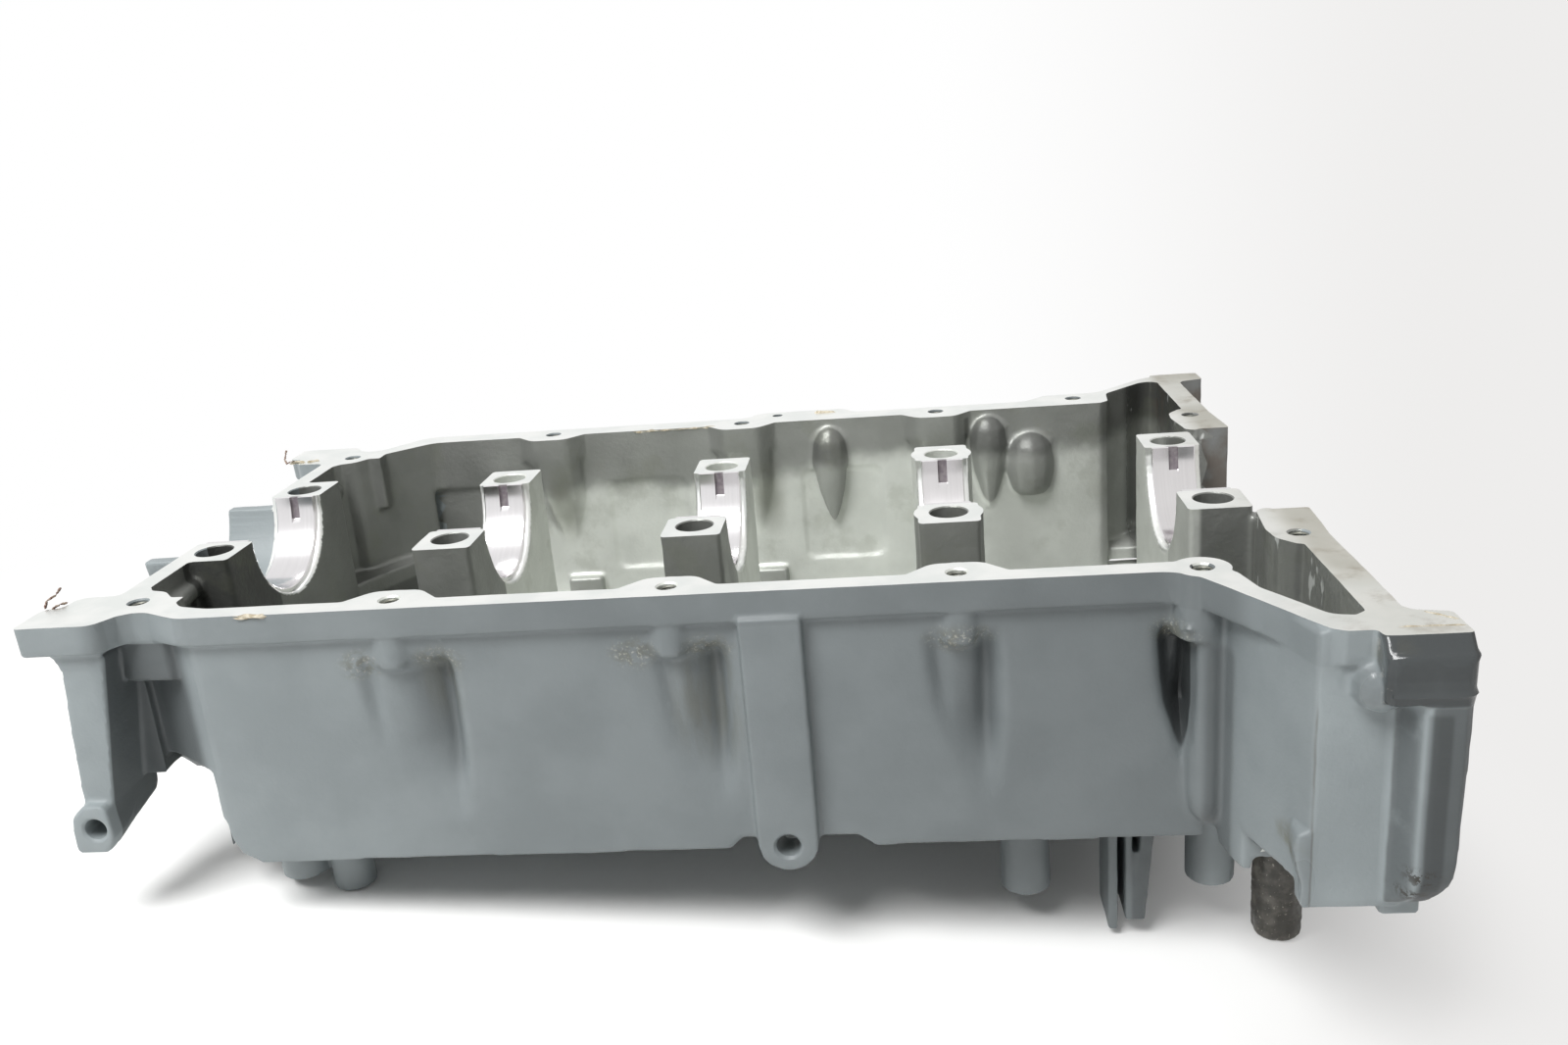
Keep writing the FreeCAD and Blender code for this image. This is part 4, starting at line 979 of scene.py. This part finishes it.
# The paper greys to the right of the camera, from one to the other share of the distance ahead
DIM_PAPER = (238, 237, 236)
DIM_FROM = (0.0, 0.42)

# World light on the object, and the one lamp: side and place in metres, power in watts
WORLD_LEVEL = 0.36
LAMP_SIDE = 1.1
LAMP_POWER = 75.0
LAMP_PLACE = (-0.75, -1.1, 2.0)


def floor_plane():
    """Pale floor through the feet, tilted as the feet hold the casting."""
    tilt = math.atan2(LEFT_FOOT[1] - RIGHT_FOOT[1], RIGHT_FOOT[0] - LEFT_FOOT[0])
    normal = np.array([math.sin(tilt), 0, math.cos(tilt)])
    through = np.array([RIGHT_FOOT[0], 0, RIGHT_FOOT[1]])
    along = np.array([math.cos(tilt), 0, -math.sin(tilt)])
    size = 6000.0
    pts = [through + a * size * along + np.array([0, b * size, 0]) for a, b in
           ((-1, -1), (1, -1), (1, 1), (-1, 1))]
    floor = mesh_object("floor", np.array(pts) - 0.4 * normal, [(0, 1, 2, 3)])
    f = Finish("floor_paper")
    away = f.tree.nodes.new("ShaderNodeVectorMath")
    away.operation = "LENGTH"
    f.give(f.moved((-110.0, 20.0, -130.0), (1000.0, 740.0, 1000.0)), away.inputs[0])
    path = f.tree.nodes.new("ShaderNodeLightPath")
    seen = f.math("MAXIMUM", path.outputs["Is Camera Ray"], path.outputs["Is Glossy Ray"])
    white = f.tree.nodes.new("ShaderNodeEmission")
    from_camera = f.tree.nodes.new("ShaderNodeSeparateXYZ")
    f.give(f.moved(EYE, (1.0, 1.0, 1.0)), from_camera.inputs[0])
    aside = f.math("DIVIDE", from_camera.outputs[0], f.math("MAXIMUM", from_camera.outputs[1], 1.0))
    f.give(f.mixed((1.0, 1.0, 1.0, 1.0), linear(*DIM_PAPER), f.step(aside, *DIM_FROM)),
           white.inputs["Color"])
    blend = f.tree.nodes.new("ShaderNodeMixShader")
    f.give(f.times(f.step(away.outputs["Value"], 0.26, 0.5), seen), blend.inputs[0])
    f.finish((0.93, 0.93, 0.92, 1.0), 0.0, 0.9, 0.1)
    f.give(f.shader.outputs[0], blend.inputs[1])
    f.give(white.outputs[0], blend.inputs[2])
    f.give(blend.outputs[0], f.tree.nodes["Material Output"].inputs["Surface"])
    floor.data.materials.append(f.material)
    return floor


def studio():
    """White world, dimmer as light than as seen, and one large lamp above the front left."""
    world = bpy.data.worlds.new("studio")
    bpy.context.scene.world = world
    world.use_nodes = True
    nodes, links = world.node_tree.nodes, world.node_tree.links
    back = nodes["Background"]
    path = nodes.new("ShaderNodeLightPath")
    total = nodes.new("ShaderNodeMath")
    total.operation = "MAXIMUM"
    links.new(path.outputs["Is Camera Ray"], total.inputs[0])
    links.new(path.outputs["Is Glossy Ray"], total.inputs[1])
    level = nodes.new("ShaderNodeMapRange")
    level.inputs["To Min"].default_value = WORLD_LEVEL
    level.inputs["To Max"].default_value = 1.0
    links.new(total.outputs[0], level.inputs["Value"])
    way = nodes.new("ShaderNodeSeparateXYZ")
    links.new(nodes.new("ShaderNodeTexCoord").outputs["Generated"], way.inputs[0])
    ahead = nodes.new("ShaderNodeMath")
    ahead.operation = "MAXIMUM"
    ahead.inputs[1].default_value = 0.001
    links.new(way.outputs[1], ahead.inputs[0])
    aside = nodes.new("ShaderNodeMath")
    aside.operation = "DIVIDE"
    links.new(way.outputs[0], aside.inputs[0])
    links.new(ahead.outputs[0], aside.inputs[1])
    dim = nodes.new("ShaderNodeMapRange")
    dim.interpolation_type = "SMOOTHSTEP"
    dim.inputs["From Min"].default_value, dim.inputs["From Max"].default_value = DIM_FROM
    links.new(aside.outputs[0], dim.inputs["Value"])
    paper = nodes.new("ShaderNodeMix")
    paper.data_type = "RGBA"
    paper.inputs[6].default_value = (1.0, 1.0, 1.0, 1.0)
    paper.inputs[7].default_value = linear(*DIM_PAPER)
    links.new(dim.outputs[0], paper.inputs[0])
    links.new(paper.outputs[2], back.inputs["Color"])
    links.new(level.outputs[0], back.inputs["Strength"])
    lamp = bpy.data.lights.new("window", "AREA")
    lamp.shape = "RECTANGLE"
    lamp.size = LAMP_SIDE
    lamp.size_y = LAMP_SIDE
    lamp.energy = LAMP_POWER
    holder = bpy.data.objects.new("window", lamp)
    bpy.context.scene.collection.objects.link(holder)
    holder.location = Vector(LAMP_PLACE)
    holder.rotation_euler = (Vector((0, 0, 0)) - holder.location).to_track_quat("-Z", "Y").to_euler()


def photo_camera():
    """The camera that took the photo, as worked out from the bearing line and the flange."""
    data = bpy.data.cameras.new("camera")
    data.sensor_width = SENSOR
    data.lens = FOCAL / PICTURE_WIDTH * SENSOR
    data.clip_end = 50.0
    camera = bpy.data.objects.new("camera", data)
    bpy.context.scene.collection.objects.link(camera)
    rows = [(RIGHT[k], -DOWN[k], -FORWARD[k], EYE[k] * MM) for k in range(3)]
    camera.matrix_world = Matrix(rows + [(0, 0, 0, 1)])
    bpy.context.scene.camera = camera


floor_plane()
studio()
photo_camera()
bpy.context.scene.view_settings.view_transform = "Standard"
